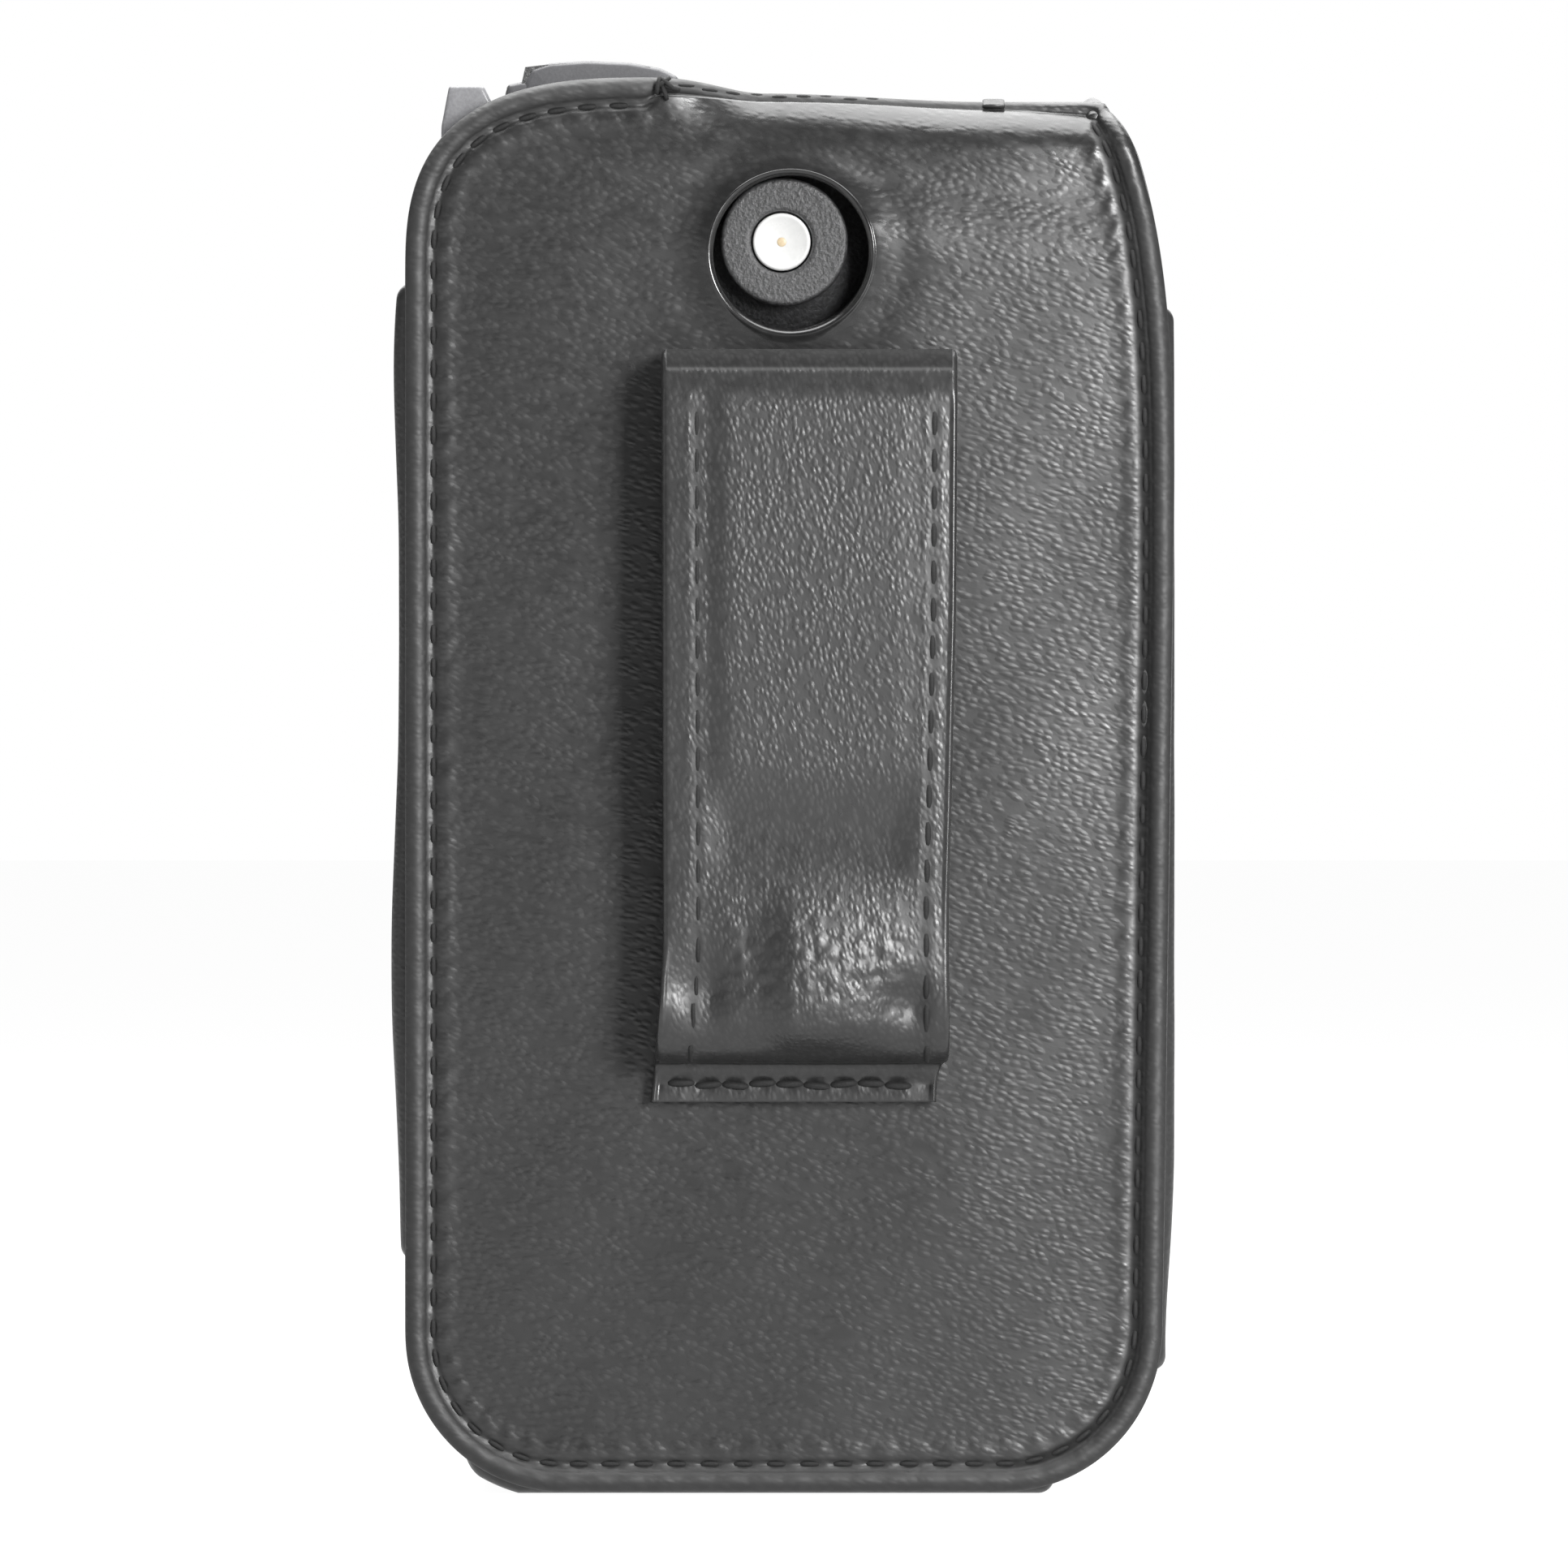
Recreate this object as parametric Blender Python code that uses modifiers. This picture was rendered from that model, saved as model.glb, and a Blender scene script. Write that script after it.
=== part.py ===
"""Belt-loop leather case: sewn panels round a moulded inner shell, standing upright.

Frame: metres, +Z up. The back, with the port and the belt loop, faces -Y.
The origin is the centre of the flat base that the case stands on.
"""
import math

import bmesh
import bpy
import numpy as np
from mathutils import Matrix, Vector

MM = 0.001
OBJECT_NAME = "belt_loop_leather_case"

# Overall case
PANEL_WIDTH = 62.6 * MM
PANEL_HEIGHT = 115.1 * MM
CASE_DEPTH = 24.0 * MM
BASE_LIFT = 0.3 * MM
FIT_GAP = 0.3 * MM
SEAM_GAP = 0.2 * MM

# Sheet thicknesses
LEATHER = 1.4 * MM
BOARD = 1.2 * MM
LINING = 0.8 * MM
GUSSET = 1.2 * MM
SHELL_WALL = 1.5 * MM

# Back panel outline
BOTTOM_CORNER = 12.8 * MM
TOP_LEFT_RUN = 20.0 * MM
TOP_LEFT_DROP = 16.0 * MM
TOP_LEFT_POWER = 2.8
TAPER_RUN = 5.4 * MM
TAPER_DROP = 42.0 * MM
TAPER_POWER = 3.4

# Lip that rolls over the top edge of the back
LIP_LENGTH = 6.4 * MM
LIP_RADIUS = 5.0 * MM
LIP_BLEND = 10.6 * MM

# Rolled edge and seam thread
ROLL_DIAMETER = 1.9 * MM
THREAD_DIAMETER = 0.45 * MM
STITCH_PITCH = 2.7 * MM
STITCH_WAVE = 0.25 * MM
BOARD_MARGIN = 5.5 * MM

# Port in the back panel
PORT_X = 0.1 * MM
PORT_DROP = 14.3 * MM
PORT_RADIUS = 6.3 * MM
RIM_RADIUS = 0.7 * MM
FORMER_WIDTH = 0.9 * MM

# Push button in the shell's boss
BOSS_SHIFT_X = -0.75 * MM
BOSS_SHIFT_Z = 0.95 * MM
BOSS_RADIUS = 4.75 * MM
BOSS_RECESS = 1.1 * MM
BUTTON_RADIUS = 2.35 * MM
BUTTON_THICKNESS = 1.0 * MM
BUTTON_DISH = 0.45 * MM
BUTTON_STEM = 1.2 * MM
BUTTON_TRAVEL = 0.8 * MM
SPRING_CLOSED = 0.8 * MM
CLIP_RADIUS = 2.2 * MM
CLIP_THICKNESS = 0.5 * MM
SPRING_WIRE = 0.3 * MM
SPRING_TURNS = 2

# Front panel, below the top of the back
FRONT_DROP = 14.4 * MM

# Gussets
GUSSET_FLANGE = 4.0 * MM
GUSSET_BULGE = 0.6 * MM
LEFT_GUSSET_FOOT = 18.6 * MM
LEFT_GUSSET_DROP = 16.5 * MM
RIGHT_GUSSET_FOOT = 9.7 * MM
RIGHT_GUSSET_DROP = 17.4 * MM
BOTTOM_GUSSET_PROUD = 0.8 * MM
BOTTOM_GUSSET_LEFT = 5.4 * MM
BOTTOM_GUSSET_RIGHT = 8.7 * MM

# Inner shell, its crown and its corner post
SHELL_SIDE_DROP = 18.4 * MM
SHELL_BACK_DROP = 8.4 * MM
CROWN_LEFT = 9.7 * MM
CROWN_WIDTH = 10.2 * MM
CROWN_RISE = 1.4 * MM
CROWN_LEDGE = 1.5 * MM
POST_LEFT = 3.2 * MM
POST_WIDTH = 3.9 * MM
POST_TOP_DROP = 0.6 * MM
POST_LENGTH = 16.0 * MM
POST_DEPTH = 3.0 * MM
POST_CHAMFER = 0.9 * MM
PAD_THICKNESS = 1.0 * MM

# Belt loop
LOOP_X = 1.6 * MM
LOOP_WIDTH = 24.0 * MM
LOOP_TOP_DROP = 22.4 * MM
LOOP_LENGTH = 60.9 * MM
LOOP_LEATHER = 1.6 * MM
LOOP_LINING = 1.0 * MM
LOOP_LINING_SIDE = 0.6 * MM
BELT_CLEARANCE = 5.2 * MM
LOOP_HEAD = 5.0 * MM
LOOP_FOOT = 2.6 * MM
LOOP_FOLD = 1.4 * MM
LOOP_SLOPE = 14.0 * MM
LOOP_SEAM_MARGIN = 2.9 * MM
LOOP_WAIST = 0.6 * MM
FOOT_STITCH_PITCH = 2.2 * MM

# Closing strap with its hidden magnet and keeper
STRAP_WIDTH = 8.1 * MM
STRAP_DROP = 31.0 * MM
STRAP_BEND = 4.5 * MM
STRAP_LINING = 1.0 * MM
MAGNET_RADIUS = 2.8 * MM
MAGNET_MARGIN = 5.0 * MM
MAGNET_THICKNESS = 0.8 * MM
KEEPER_THICKNESS = 0.9 * MM

# Facets
ARC_STEPS = 8
ROUND_SEGMENTS = 40
GUSSET_STATIONS = 9

# Places worked out from the sizes
HALF_WIDTH = PANEL_WIDTH / 2
BACK_FACE = -CASE_DEPTH / 2
FRONT_FACE = CASE_DEPTH / 2
BACK_INNER = BACK_FACE + LEATHER
FRONT_INNER = FRONT_FACE - LEATHER
PANEL_TOP = BASE_LIFT + PANEL_HEIGHT
FRONT_TOP = PANEL_TOP - FRONT_DROP
LIP_START = PANEL_TOP - LIP_LENGTH
KNOT_X = -HALF_WIDTH + TOP_LEFT_RUN
THREAD_INSET = ROLL_DIAMETER + SEAM_GAP + THREAD_DIAMETER / 2
PLATE_INSET = ROLL_DIAMETER + 2 * SEAM_GAP + THREAD_DIAMETER
ROLL_SINK = ROLL_DIAMETER / 2 - LEATHER
FLANGE_PLANE = CASE_DEPTH / 2 - LEATHER - FIT_GAP - GUSSET / 2
BACK_BOARD_Y = BACK_INNER + FIT_GAP
FRONT_BOARD_Y = FRONT_INNER - FIT_GAP
SHELL_BACK = BACK_INNER + 2 * FIT_GAP + max(GUSSET, BOARD)
SHELL_INSIDE = SHELL_BACK + SHELL_WALL
LINING_Y = FRONT_INNER - 2 * FIT_GAP - max(GUSSET, BOARD)
SHELL_FRONT = LINING_Y - LINING - FIT_GAP
SHELL_HALF = HALF_WIDTH - GUSSET - FIT_GAP
SHELL_FLOOR = GUSSET + FIT_GAP
SHELL_CORNER = BOTTOM_CORNER - GUSSET
PORT_Z = PANEL_TOP - PORT_DROP
BOSS_X = PORT_X + BOSS_SHIFT_X
BOSS_Z = PORT_Z + BOSS_SHIFT_Z
BOSS_FACE = BACK_FACE + BOSS_RECESS
HEAD_BACK = BOSS_FACE + BUTTON_THICKNESS
BORE_FLOOR = HEAD_BACK + BUTTON_TRAVEL + SPRING_CLOSED
FORMER_INNER = PORT_RADIUS + FIT_GAP
FORMER_OUTER = FORMER_INNER + FORMER_WIDTH
STRAP_RIGHT = HALF_WIDTH - TAPER_RUN
STRAP_LEFT = STRAP_RIGHT - STRAP_WIDTH
STRAP_STACK = FIT_GAP + STRAP_LINING + FIT_GAP + LEATHER
STRAP_FRONT = FRONT_FACE + STRAP_STACK
LIP_ANGLE = LIP_LENGTH / LIP_RADIUS
LIP_CENTRE_Y = BACK_FACE + LIP_RADIUS
MAGNET_X = STRAP_RIGHT - FIT_GAP - STRAP_WIDTH / 2
MAGNET_Z = LIP_START + LIP_RADIUS - STRAP_DROP + MAGNET_MARGIN
LOOP_TOP = PANEL_TOP - LOOP_TOP_DROP
LOOP_BOTTOM = LOOP_TOP - LOOP_LENGTH
LOOP_RUN = BELT_CLEARANCE + LOOP_LINING + FIT_GAP + LOOP_LEATHER / 2
LOOP_SEAT = FIT_GAP + LOOP_LEATHER / 2
LOOP_BEND = (LOOP_RUN - LOOP_SEAT) / 2
LOOP_BEND_Z = LOOP_TOP - LOOP_BEND - LOOP_LEATHER / 2
LOOP_FOLD_Z = LOOP_BOTTOM + LOOP_FOOT + LOOP_FOLD


def clear_scene():
    """Remove every object so that the script starts from nothing."""
    for item in list(bpy.data.objects):
        bpy.data.objects.remove(item, do_unlink=True)


def new_collection(name):
    """Make a collection and link it under the scene."""
    made = bpy.data.collections.new(name)
    bpy.context.scene.collection.children.link(made)
    return made


clear_scene()
PARTS = new_collection(OBJECT_NAME)
CUTTERS = new_collection("cutters")


def material(name, colour, roughness, metallic=0.0):
    """Make a Principled material from a linear grey or colour."""
    made = bpy.data.materials.new(name)
    made.use_nodes = True
    shader = made.node_tree.nodes["Principled BSDF"]
    shader.inputs["Base Color"].default_value = (*colour, 1.0)
    shader.inputs["Roughness"].default_value = roughness
    shader.inputs["Metallic"].default_value = metallic
    made.diffuse_color = (*colour, 1.0)
    return made


GRAIN_LEATHER = material("grain_leather", (0.085, 0.085, 0.085), 0.5)
GUSSET_LEATHER = material("gusset_leather", (0.12, 0.12, 0.12), 0.55)
SUEDE = material("suede_lining", (0.03, 0.03, 0.03), 0.9)
FIBREBOARD = material("fibreboard", (0.16, 0.12, 0.08), 0.85)
MOULDED_PLASTIC = material("moulded_plastic", (0.05, 0.05, 0.055), 0.6)
WHITE_PLASTIC = material("white_plastic", (0.85, 0.85, 0.83), 0.35)
BLACK_THREAD = material("black_thread", (0.01, 0.01, 0.01), 0.7)
FELT = material("felt", (0.04, 0.04, 0.04), 0.95)
STEEL = material("plated_steel", (0.55, 0.55, 0.55), 0.3, 1.0)


def show(item, finish, parent=None):
    """Put an object among the parts with its material, on its joint's empty if it moves."""
    for owner in list(item.users_collection):
        owner.objects.unlink(item)
    PARTS.objects.link(item)
    item.data.materials.clear()
    item.data.materials.append(finish)
    if parent is not None:
        item.parent = parent
        item.matrix_parent_inverse = Matrix.Translation(-parent.location)
    return item


def hide(item):
    """Put an object among the cutters."""
    for owner in list(item.users_collection):
        owner.objects.unlink(item)
    CUTTERS.objects.link(item)
    item.hide_render = True
    item.display_type = "WIRE"
    return item


def joint_empty(name, place):
    """Make the empty that a moving group hangs on, at its joint's axis."""
    made = bpy.data.objects.new(name, None)
    made.empty_display_size = 0.005
    made.location = place
    PARTS.objects.link(made)
    return made


def curve_object(name, loops, cyclic):
    """Make a curve object of POLY splines from lists of three-dimensional points."""
    data = bpy.data.curves.new(name, "CURVE")
    for loop in loops:
        spline = data.splines.new("POLY")
        spline.points.add(len(loop) - 1)
        for point, place in zip(spline.points, loop):
            point.co = (*place, 1.0)
        spline.use_cyclic_u = cyclic
    item = bpy.data.objects.new(name, data)
    bpy.context.scene.collection.objects.link(item)
    return item


def extruded(name, loops, near, far):
    """Extrude flat XZ outlines along Y from near to far; later loops are holes."""
    flat = [[(x, z, 0.0) for x, z in loop] for loop in loops]
    item = curve_object(name, flat, True)
    item.data.dimensions = "2D"
    item.data.fill_mode = "BOTH"
    item.data.extrude = (far - near) / 2
    item.location = (0.0, (near + far) / 2, 0.0)
    item.rotation_euler = (math.pi / 2, 0.0, 0.0)
    return item


def tube(name, path, diameter, sides_level):
    """Make a closed round tube along a path of points."""
    item = curve_object(name, [path], False)
    item.data.dimensions = "3D"
    item.data.bevel_depth = diameter / 2
    item.data.bevel_resolution = sides_level
    item.data.use_fill_caps = True
    return item


def as_mesh(item):
    """Turn a curve into a welded mesh object in world space."""
    bpy.context.view_layer.update()
    graph = bpy.context.evaluated_depsgraph_get()
    data = bpy.data.meshes.new_from_object(item.evaluated_get(graph))
    data.transform(item.matrix_world)
    name = item.name
    bpy.data.objects.remove(item, do_unlink=True)
    form = bmesh.new()
    form.from_mesh(data)
    bmesh.ops.remove_doubles(form, verts=form.verts, dist=1e-6)
    bmesh.ops.recalc_face_normals(form, faces=form.faces)
    form.to_mesh(data)
    form.free()
    made = bpy.data.objects.new(name, data)
    bpy.context.scene.collection.objects.link(made)
    return made


def cylinder(name, radius, near, far, x, z):
    """Make a cylinder along Y between two depths."""
    bpy.ops.mesh.primitive_cylinder_add(
        vertices=ROUND_SEGMENTS,
        radius=radius,
        depth=far - near,
        location=(x, (near + far) / 2, z),
        rotation=(math.pi / 2, 0.0, 0.0),
    )
    item = bpy.context.object
    item.name = name
    return item


def boolean(item, cutter, operation):
    """Add a Boolean modifier with a hidden cutter."""
    hide(cutter)
    step = item.modifiers.new(cutter.name, "BOOLEAN")
    step.operation = operation
    step.solver = "EXACT"
    step.object = cutter
    return item


def ribbon(name, rows, thickness):
    """Make a sheet from rows of points and thicken it evenly about its middle."""
    form = bmesh.new()
    grid = [[form.verts.new(point) for point in row] for row in rows]
    for lower, upper in zip(grid, grid[1:]):
        for i in range(len(lower) - 1):
            form.faces.new((lower[i], lower[i + 1], upper[i + 1], upper[i]))
    data = bpy.data.meshes.new(name)
    form.to_mesh(data)
    form.free()
    item = bpy.data.objects.new(name, data)
    bpy.context.scene.collection.objects.link(item)
    step = item.modifiers.new("thickness", "SOLIDIFY")
    step.thickness = thickness
    step.offset = 0.0
    step.use_even_offset = True
    return item


def smooth(item, angle=math.radians(40)):
    """Shade a mesh smooth with sharp corners kept."""
    item.data.shade_smooth()
    item.data.set_sharp_from_angle(angle=angle)
    return item


def turned(name, profile, place):
    """Turn a radius and depth profile about the Y direction at a place."""
    data = bpy.data.meshes.new(name)
    form = bmesh.new()
    points = [form.verts.new((radius, 0.0, height)) for radius, height in profile]
    for first, second in zip(points, points[1:]):
        form.edges.new((first, second))
    form.to_mesh(data)
    form.free()
    item = bpy.data.objects.new(name, data)
    bpy.context.scene.collection.objects.link(item)
    item.location = place
    item.rotation_euler = (math.pi / 2, 0.0, 0.0)
    step = item.modifiers.new("turn", "SCREW")
    step.steps = ROUND_SEGMENTS
    step.render_steps = ROUND_SEGMENTS
    step.use_merge_vertices = True
    step.merge_threshold = 0.00005
    step.use_smooth_shade = True
    return item


def arc(x, z, radius_x, radius_z, start, end, power=2.0):
    """Points on a superellipse arc about a centre, angles in degrees."""
    angles = np.radians(np.linspace(start, end, ARC_STEPS + 1))
    cosine = np.cos(angles)
    sine = np.sin(angles)
    across = np.sign(cosine) * np.abs(cosine) ** (2 / power)
    up = np.sign(sine) * np.abs(sine) ** (2 / power)
    return [(x + radius_x * a, z + radius_z * b) for a, b in zip(across, up)]


def back_path(inset, short=0.0):
    """Open outline of the back panel: from the knot, round the left and bottom, up the right."""
    half = HALF_WIDTH - inset
    low = BASE_LIFT + inset
    corner = BOTTOM_CORNER - inset
    centre_z = BASE_LIFT + BOTTOM_CORNER
    centre_x = HALF_WIDTH - BOTTOM_CORNER
    shoulder = PANEL_TOP - TOP_LEFT_DROP
    path = arc(KNOT_X, shoulder, TOP_LEFT_RUN - inset, TOP_LEFT_DROP - inset, 90, 180, TOP_LEFT_POWER)
    path += arc(-centre_x, centre_z, corner, corner, 180, 270)
    path += arc(centre_x, centre_z, corner, corner, 270, 360)
    for share in np.linspace(0.0, 1.0 - short / TAPER_DROP, 2 * ARC_STEPS + 1):
        height = PANEL_TOP - TAPER_DROP * (1 - share)
        path.append((half - TAPER_RUN * share**TAPER_POWER, height))
    path[0] = (KNOT_X, path[0][1])
    return path


def front_path(inset):
    """Open outline of the front panel: down the left, along the bottom, up the right."""
    half = HALF_WIDTH - inset
    corner = BOTTOM_CORNER - inset
    centre_z = BASE_LIFT + BOTTOM_CORNER
    centre_x = HALF_WIDTH - BOTTOM_CORNER
    path = [(-half, FRONT_TOP)]
    path += arc(-centre_x, centre_z, corner, corner, 180, 270)
    path += arc(centre_x, centre_z, corner, corner, 270, 360)
    path.append((half, FRONT_TOP))
    return path


def resampled(path, pitch):
    """Points spread evenly along a path, at the pitch nearest to the one asked for."""
    points = np.array(path)
    steps = np.linalg.norm(np.diff(points, axis=0), axis=1)
    along = np.concatenate([[0.0], np.cumsum(steps)])
    count = max(2, int(round(along[-1] / pitch)))
    places = np.linspace(0.0, along[-1], count + 1)
    return [tuple(np.interp(places, along, points[:, k])[i] for k in range(points.shape[1]))
            for i in range(count + 1)]


def curl_share(x):
    """Share of the lip's full curl at a place across the panel, from 0 to 1."""
    ramp = min(1.0, max(0.0, (x - KNOT_X - FIT_GAP) / LIP_BLEND))
    return ramp * ramp * (3 - 2 * ramp)


def wrapped(x, y, z):
    """Bend a point of the flat back panel over the lip's radius."""
    share = curl_share(x)
    run = z - LIP_START
    if run <= 0.0 or share < 0.001:
        return (x, y, z)
    radius = LIP_RADIUS / share
    angle = run / radius
    inside = radius - (y - BACK_FACE)
    return (
        x,
        BACK_FACE + radius - inside * math.cos(angle),
        LIP_START + inside * math.sin(angle),
    )


def lip_point(angle, depth, x):
    """Point on the lip's arc and its straight run on, at a depth below the outer face."""
    radius = LIP_RADIUS - depth
    return (x, LIP_CENTRE_Y - radius * math.cos(angle), LIP_START + radius * math.sin(angle))


def stitched(path, middle):
    """Wavy thread line along a flat path: in the seam at a depth, in and out by half stitches."""
    return [(x, middle + (STITCH_WAVE if i % 2 else -STITCH_WAVE), z)
            for i, (x, z) in enumerate(resampled(path, STITCH_PITCH / 2))]


def build_back():
    """Back leather with its lip and port, board, former ring, rolled edge and seam thread."""
    outline = back_path(PLATE_INSET)
    outline += [(KNOT_X + FIT_GAP, PANEL_TOP), (KNOT_X + FIT_GAP, outline[0][1])]
    plate = as_mesh(extruded("back_panel", [outline], BACK_FACE, BACK_INNER))
    form = bmesh.new()
    form.from_mesh(plate.data)
    for share in np.linspace(0.0, 1.0, ARC_STEPS + 1)[:-1]:
        cut_place = Vector((0.0, 0.0, LIP_START + LIP_LENGTH * share))
        whole = list(form.verts) + list(form.edges) + list(form.faces)
        bmesh.ops.bisect_plane(form, geom=whole, plane_co=cut_place, plane_no=(0.0, 0.0, 1.0))
    for share in np.linspace(0.0, 1.0, ARC_STEPS + 1):
        cut_place = Vector((KNOT_X + FIT_GAP + LIP_BLEND * share, 0.0, 0.0))
        top = [f for f in form.faces if f.calc_center_median().z > LIP_START]
        edges = {e for f in top for e in f.edges}
        verts = {v for f in top for v in f.verts}
        bmesh.ops.bisect_plane(
            form, geom=list(verts) + list(edges) + top, plane_co=cut_place, plane_no=(1.0, 0.0, 0.0)
        )
    bmesh.ops.triangulate(form, faces=form.faces)
    for point in form.verts:
        point.co = wrapped(*point.co)
    form.to_mesh(plate.data)
    form.free()
    bpy.ops.mesh.primitive_torus_add(
        major_radius=PORT_RADIUS + 0.8 * RIM_RADIUS,
        minor_radius=RIM_RADIUS,
        major_segments=ROUND_SEGMENTS,
        minor_segments=ARC_STEPS,
        location=(PORT_X, BACK_FACE, PORT_Z),
        rotation=(math.pi / 2, 0.0, 0.0),
    )
    rim = bpy.context.object
    rim.name = "port_rim_form"
    boolean(plate, rim, "UNION")
    reach = LEATHER + RIM_RADIUS
    hole = cylinder("port_hole", PORT_RADIUS, BACK_FACE - reach, BACK_FACE + reach, PORT_X, PORT_Z)
    boolean(plate, hole, "DIFFERENCE")
    show(smooth(plate), GRAIN_LEATHER)

    board_top = LIP_START + LEATHER / 2
    board_line = [(x, min(z, board_top)) for x, z in back_path(BOARD_MARGIN)]
    former_hole = FORMER_OUTER + FIT_GAP
    turns = np.linspace(0.0, 2 * math.pi, ROUND_SEGMENTS, endpoint=False)
    hole_line = [(PORT_X + former_hole * math.cos(a), PORT_Z + former_hole * math.sin(a)) for a in turns]
    clean = [board_line[0]]
    for point in board_line[1:]:
        if math.dist(point, clean[-1]) > FIT_GAP / 3:
            clean.append(point)
    board = extruded("back_board", [clean, hole_line], BACK_BOARD_Y, BACK_BOARD_Y + BOARD)
    show(board, FIBREBOARD)

    outer = [(PORT_X + FORMER_OUTER * math.cos(a), PORT_Z + FORMER_OUTER * math.sin(a)) for a in turns]
    inner = [(PORT_X + FORMER_INNER * math.cos(a), PORT_Z + FORMER_INNER * math.sin(a)) for a in turns]
    former = extruded("port_former_ring", [outer, inner], BACK_BOARD_Y, BACK_BOARD_Y + BOARD)
    show(former, MOULDED_PLASTIC)

    middle = BACK_FACE - ROLL_SINK
    roll_line = [wrapped(x, middle, z) for x, z in back_path(ROLL_DIAMETER / 2, ROLL_DIAMETER / 2)]
    show(tube("back_roll", roll_line, ROLL_DIAMETER, 2), GRAIN_LEATHER)
    thread_line = [wrapped(*p) for p in stitched(back_path(THREAD_INSET, ROLL_DIAMETER / 2), BACK_FACE + STITCH_WAVE)]
    show(tube("back_seam_thread", thread_line, THREAD_DIAMETER, 0), BLACK_THREAD)


def build_front():
    """Front leather, board with the keeper in it, lining, rolled edge and seam thread."""
    plate = extruded("front_panel", [front_path(PLATE_INSET)], FRONT_INNER, FRONT_FACE)
    show(plate, GRAIN_LEATHER)

    keeper_hole = MAGNET_RADIUS + FIT_GAP
    turns = np.linspace(0.0, 2 * math.pi, ROUND_SEGMENTS, endpoint=False)
    hole_line = [(MAGNET_X + keeper_hole * math.cos(a), MAGNET_Z + keeper_hole * math.sin(a)) for a in turns]
    board_line = [(x, min(z, FRONT_TOP - BOARD_MARGIN)) for x, z in front_path(BOARD_MARGIN)]
    board = extruded("front_board", [board_line, hole_line], FRONT_BOARD_Y - BOARD, FRONT_BOARD_Y)
    show(board, FIBREBOARD)
    keeper = cylinder(
        "front_keeper", MAGNET_RADIUS, FRONT_BOARD_Y - KEEPER_THICKNESS, FRONT_BOARD_Y, MAGNET_X, MAGNET_Z
    )
    show(smooth(keeper), STEEL)

    lining_line = [(x, z) for x, z in shell_outline(SHELL_HALF, SHELL_FLOOR, SHELL_CORNER, FRONT_TOP)]
    lining = extruded("front_lining", [lining_line], LINING_Y - LINING, LINING_Y)
    show(lining, SUEDE)

    middle = FRONT_FACE + ROLL_SINK
    roll_line = [(x, middle, z) for x, z in front_path(ROLL_DIAMETER / 2)]
    show(tube("front_roll", roll_line, ROLL_DIAMETER, 2), GRAIN_LEATHER)
    thread_line = stitched(front_path(THREAD_INSET), FRONT_FACE - STITCH_WAVE)
    show(tube("front_seam_thread", thread_line, THREAD_DIAMETER, 0), BLACK_THREAD)


def side_gusset(name, side, low, high):
    """Channel of leather down one side: a bulging web with a sewn flange at each panel."""
    turn = GUSSET / 2 + FIT_GAP
    rows = []
    for share in np.linspace(0.0, 1.0, GUSSET_STATIONS):
        z = low + (high - low) * share
        web = HALF_WIDTH - GUSSET / 2 + GUSSET_BULGE * math.sin(math.pi * share)
        flange = HALF_WIDTH - GUSSET / 2 - GUSSET_FLANGE
        profile = [(flange, -FLANGE_PLANE)]
        profile += arc(web - turn, -FLANGE_PLANE + turn, turn, turn, 270, 360)[::2]
        profile += arc(web - turn, FLANGE_PLANE - turn, turn, turn, 0, 90)[::2]
        profile.append((flange, FLANGE_PLANE))
        rows.append([(side * x, y, z) for x, y in profile])
    show(smooth(ribbon(name, rows, GUSSET)), GUSSET_LEATHER)


def bottom_gusset():
    """Channel of leather under the case: a flat base, ends that rise with the corners, two flanges."""
    left = -HALF_WIDTH + BOTTOM_GUSSET_LEFT
    right = HALF_WIDTH - BOTTOM_GUSSET_RIGHT
    centre_x = HALF_WIDTH - BOTTOM_CORNER
    centre_z = BASE_LIFT + BOTTOM_CORNER
    sweep = BOTTOM_CORNER + BOTTOM_GUSSET_PROUD
    flat = math.sqrt(sweep**2 - centre_z**2)
    stations = list(np.linspace(left, -centre_x - flat, ARC_STEPS))
    stations += list(np.linspace(centre_x + flat, right, ARC_STEPS // 2))
    turn = GUSSET / 2 + FIT_GAP
    rows = []
    for x in stations:
        over = max(0.0, abs(x) - centre_x)
        base = max(0.0, centre_z - math.sqrt(sweep**2 - over**2))
        web = base + GUSSET / 2
        top = GUSSET / 2 + GUSSET_FLANGE
        profile = [(-FLANGE_PLANE, top)]
        profile += arc(-FLANGE_PLANE + turn, web + turn, turn, turn, 180, 270)[::2]
        profile += arc(FLANGE_PLANE - turn, web + turn, turn, turn, 270, 360)[::2]
        profile.append((FLANGE_PLANE, top))
        rows.append([(x, y, z) for y, z in profile])
    show(smooth(ribbon("bottom_gusset", rows, GUSSET)), GUSSET_LEATHER)


def shell_outline(half, floor, corner, top):
    """Closed outline with round bottom corners and a square top."""
    outline = [(-half, top)]
    outline += arc(-half + corner, floor + corner, corner, corner, 180, 270)
    outline += arc(half - corner, floor + corner, corner, corner, 270, 360)
    outline.append((half, top))
    return outline


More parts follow.
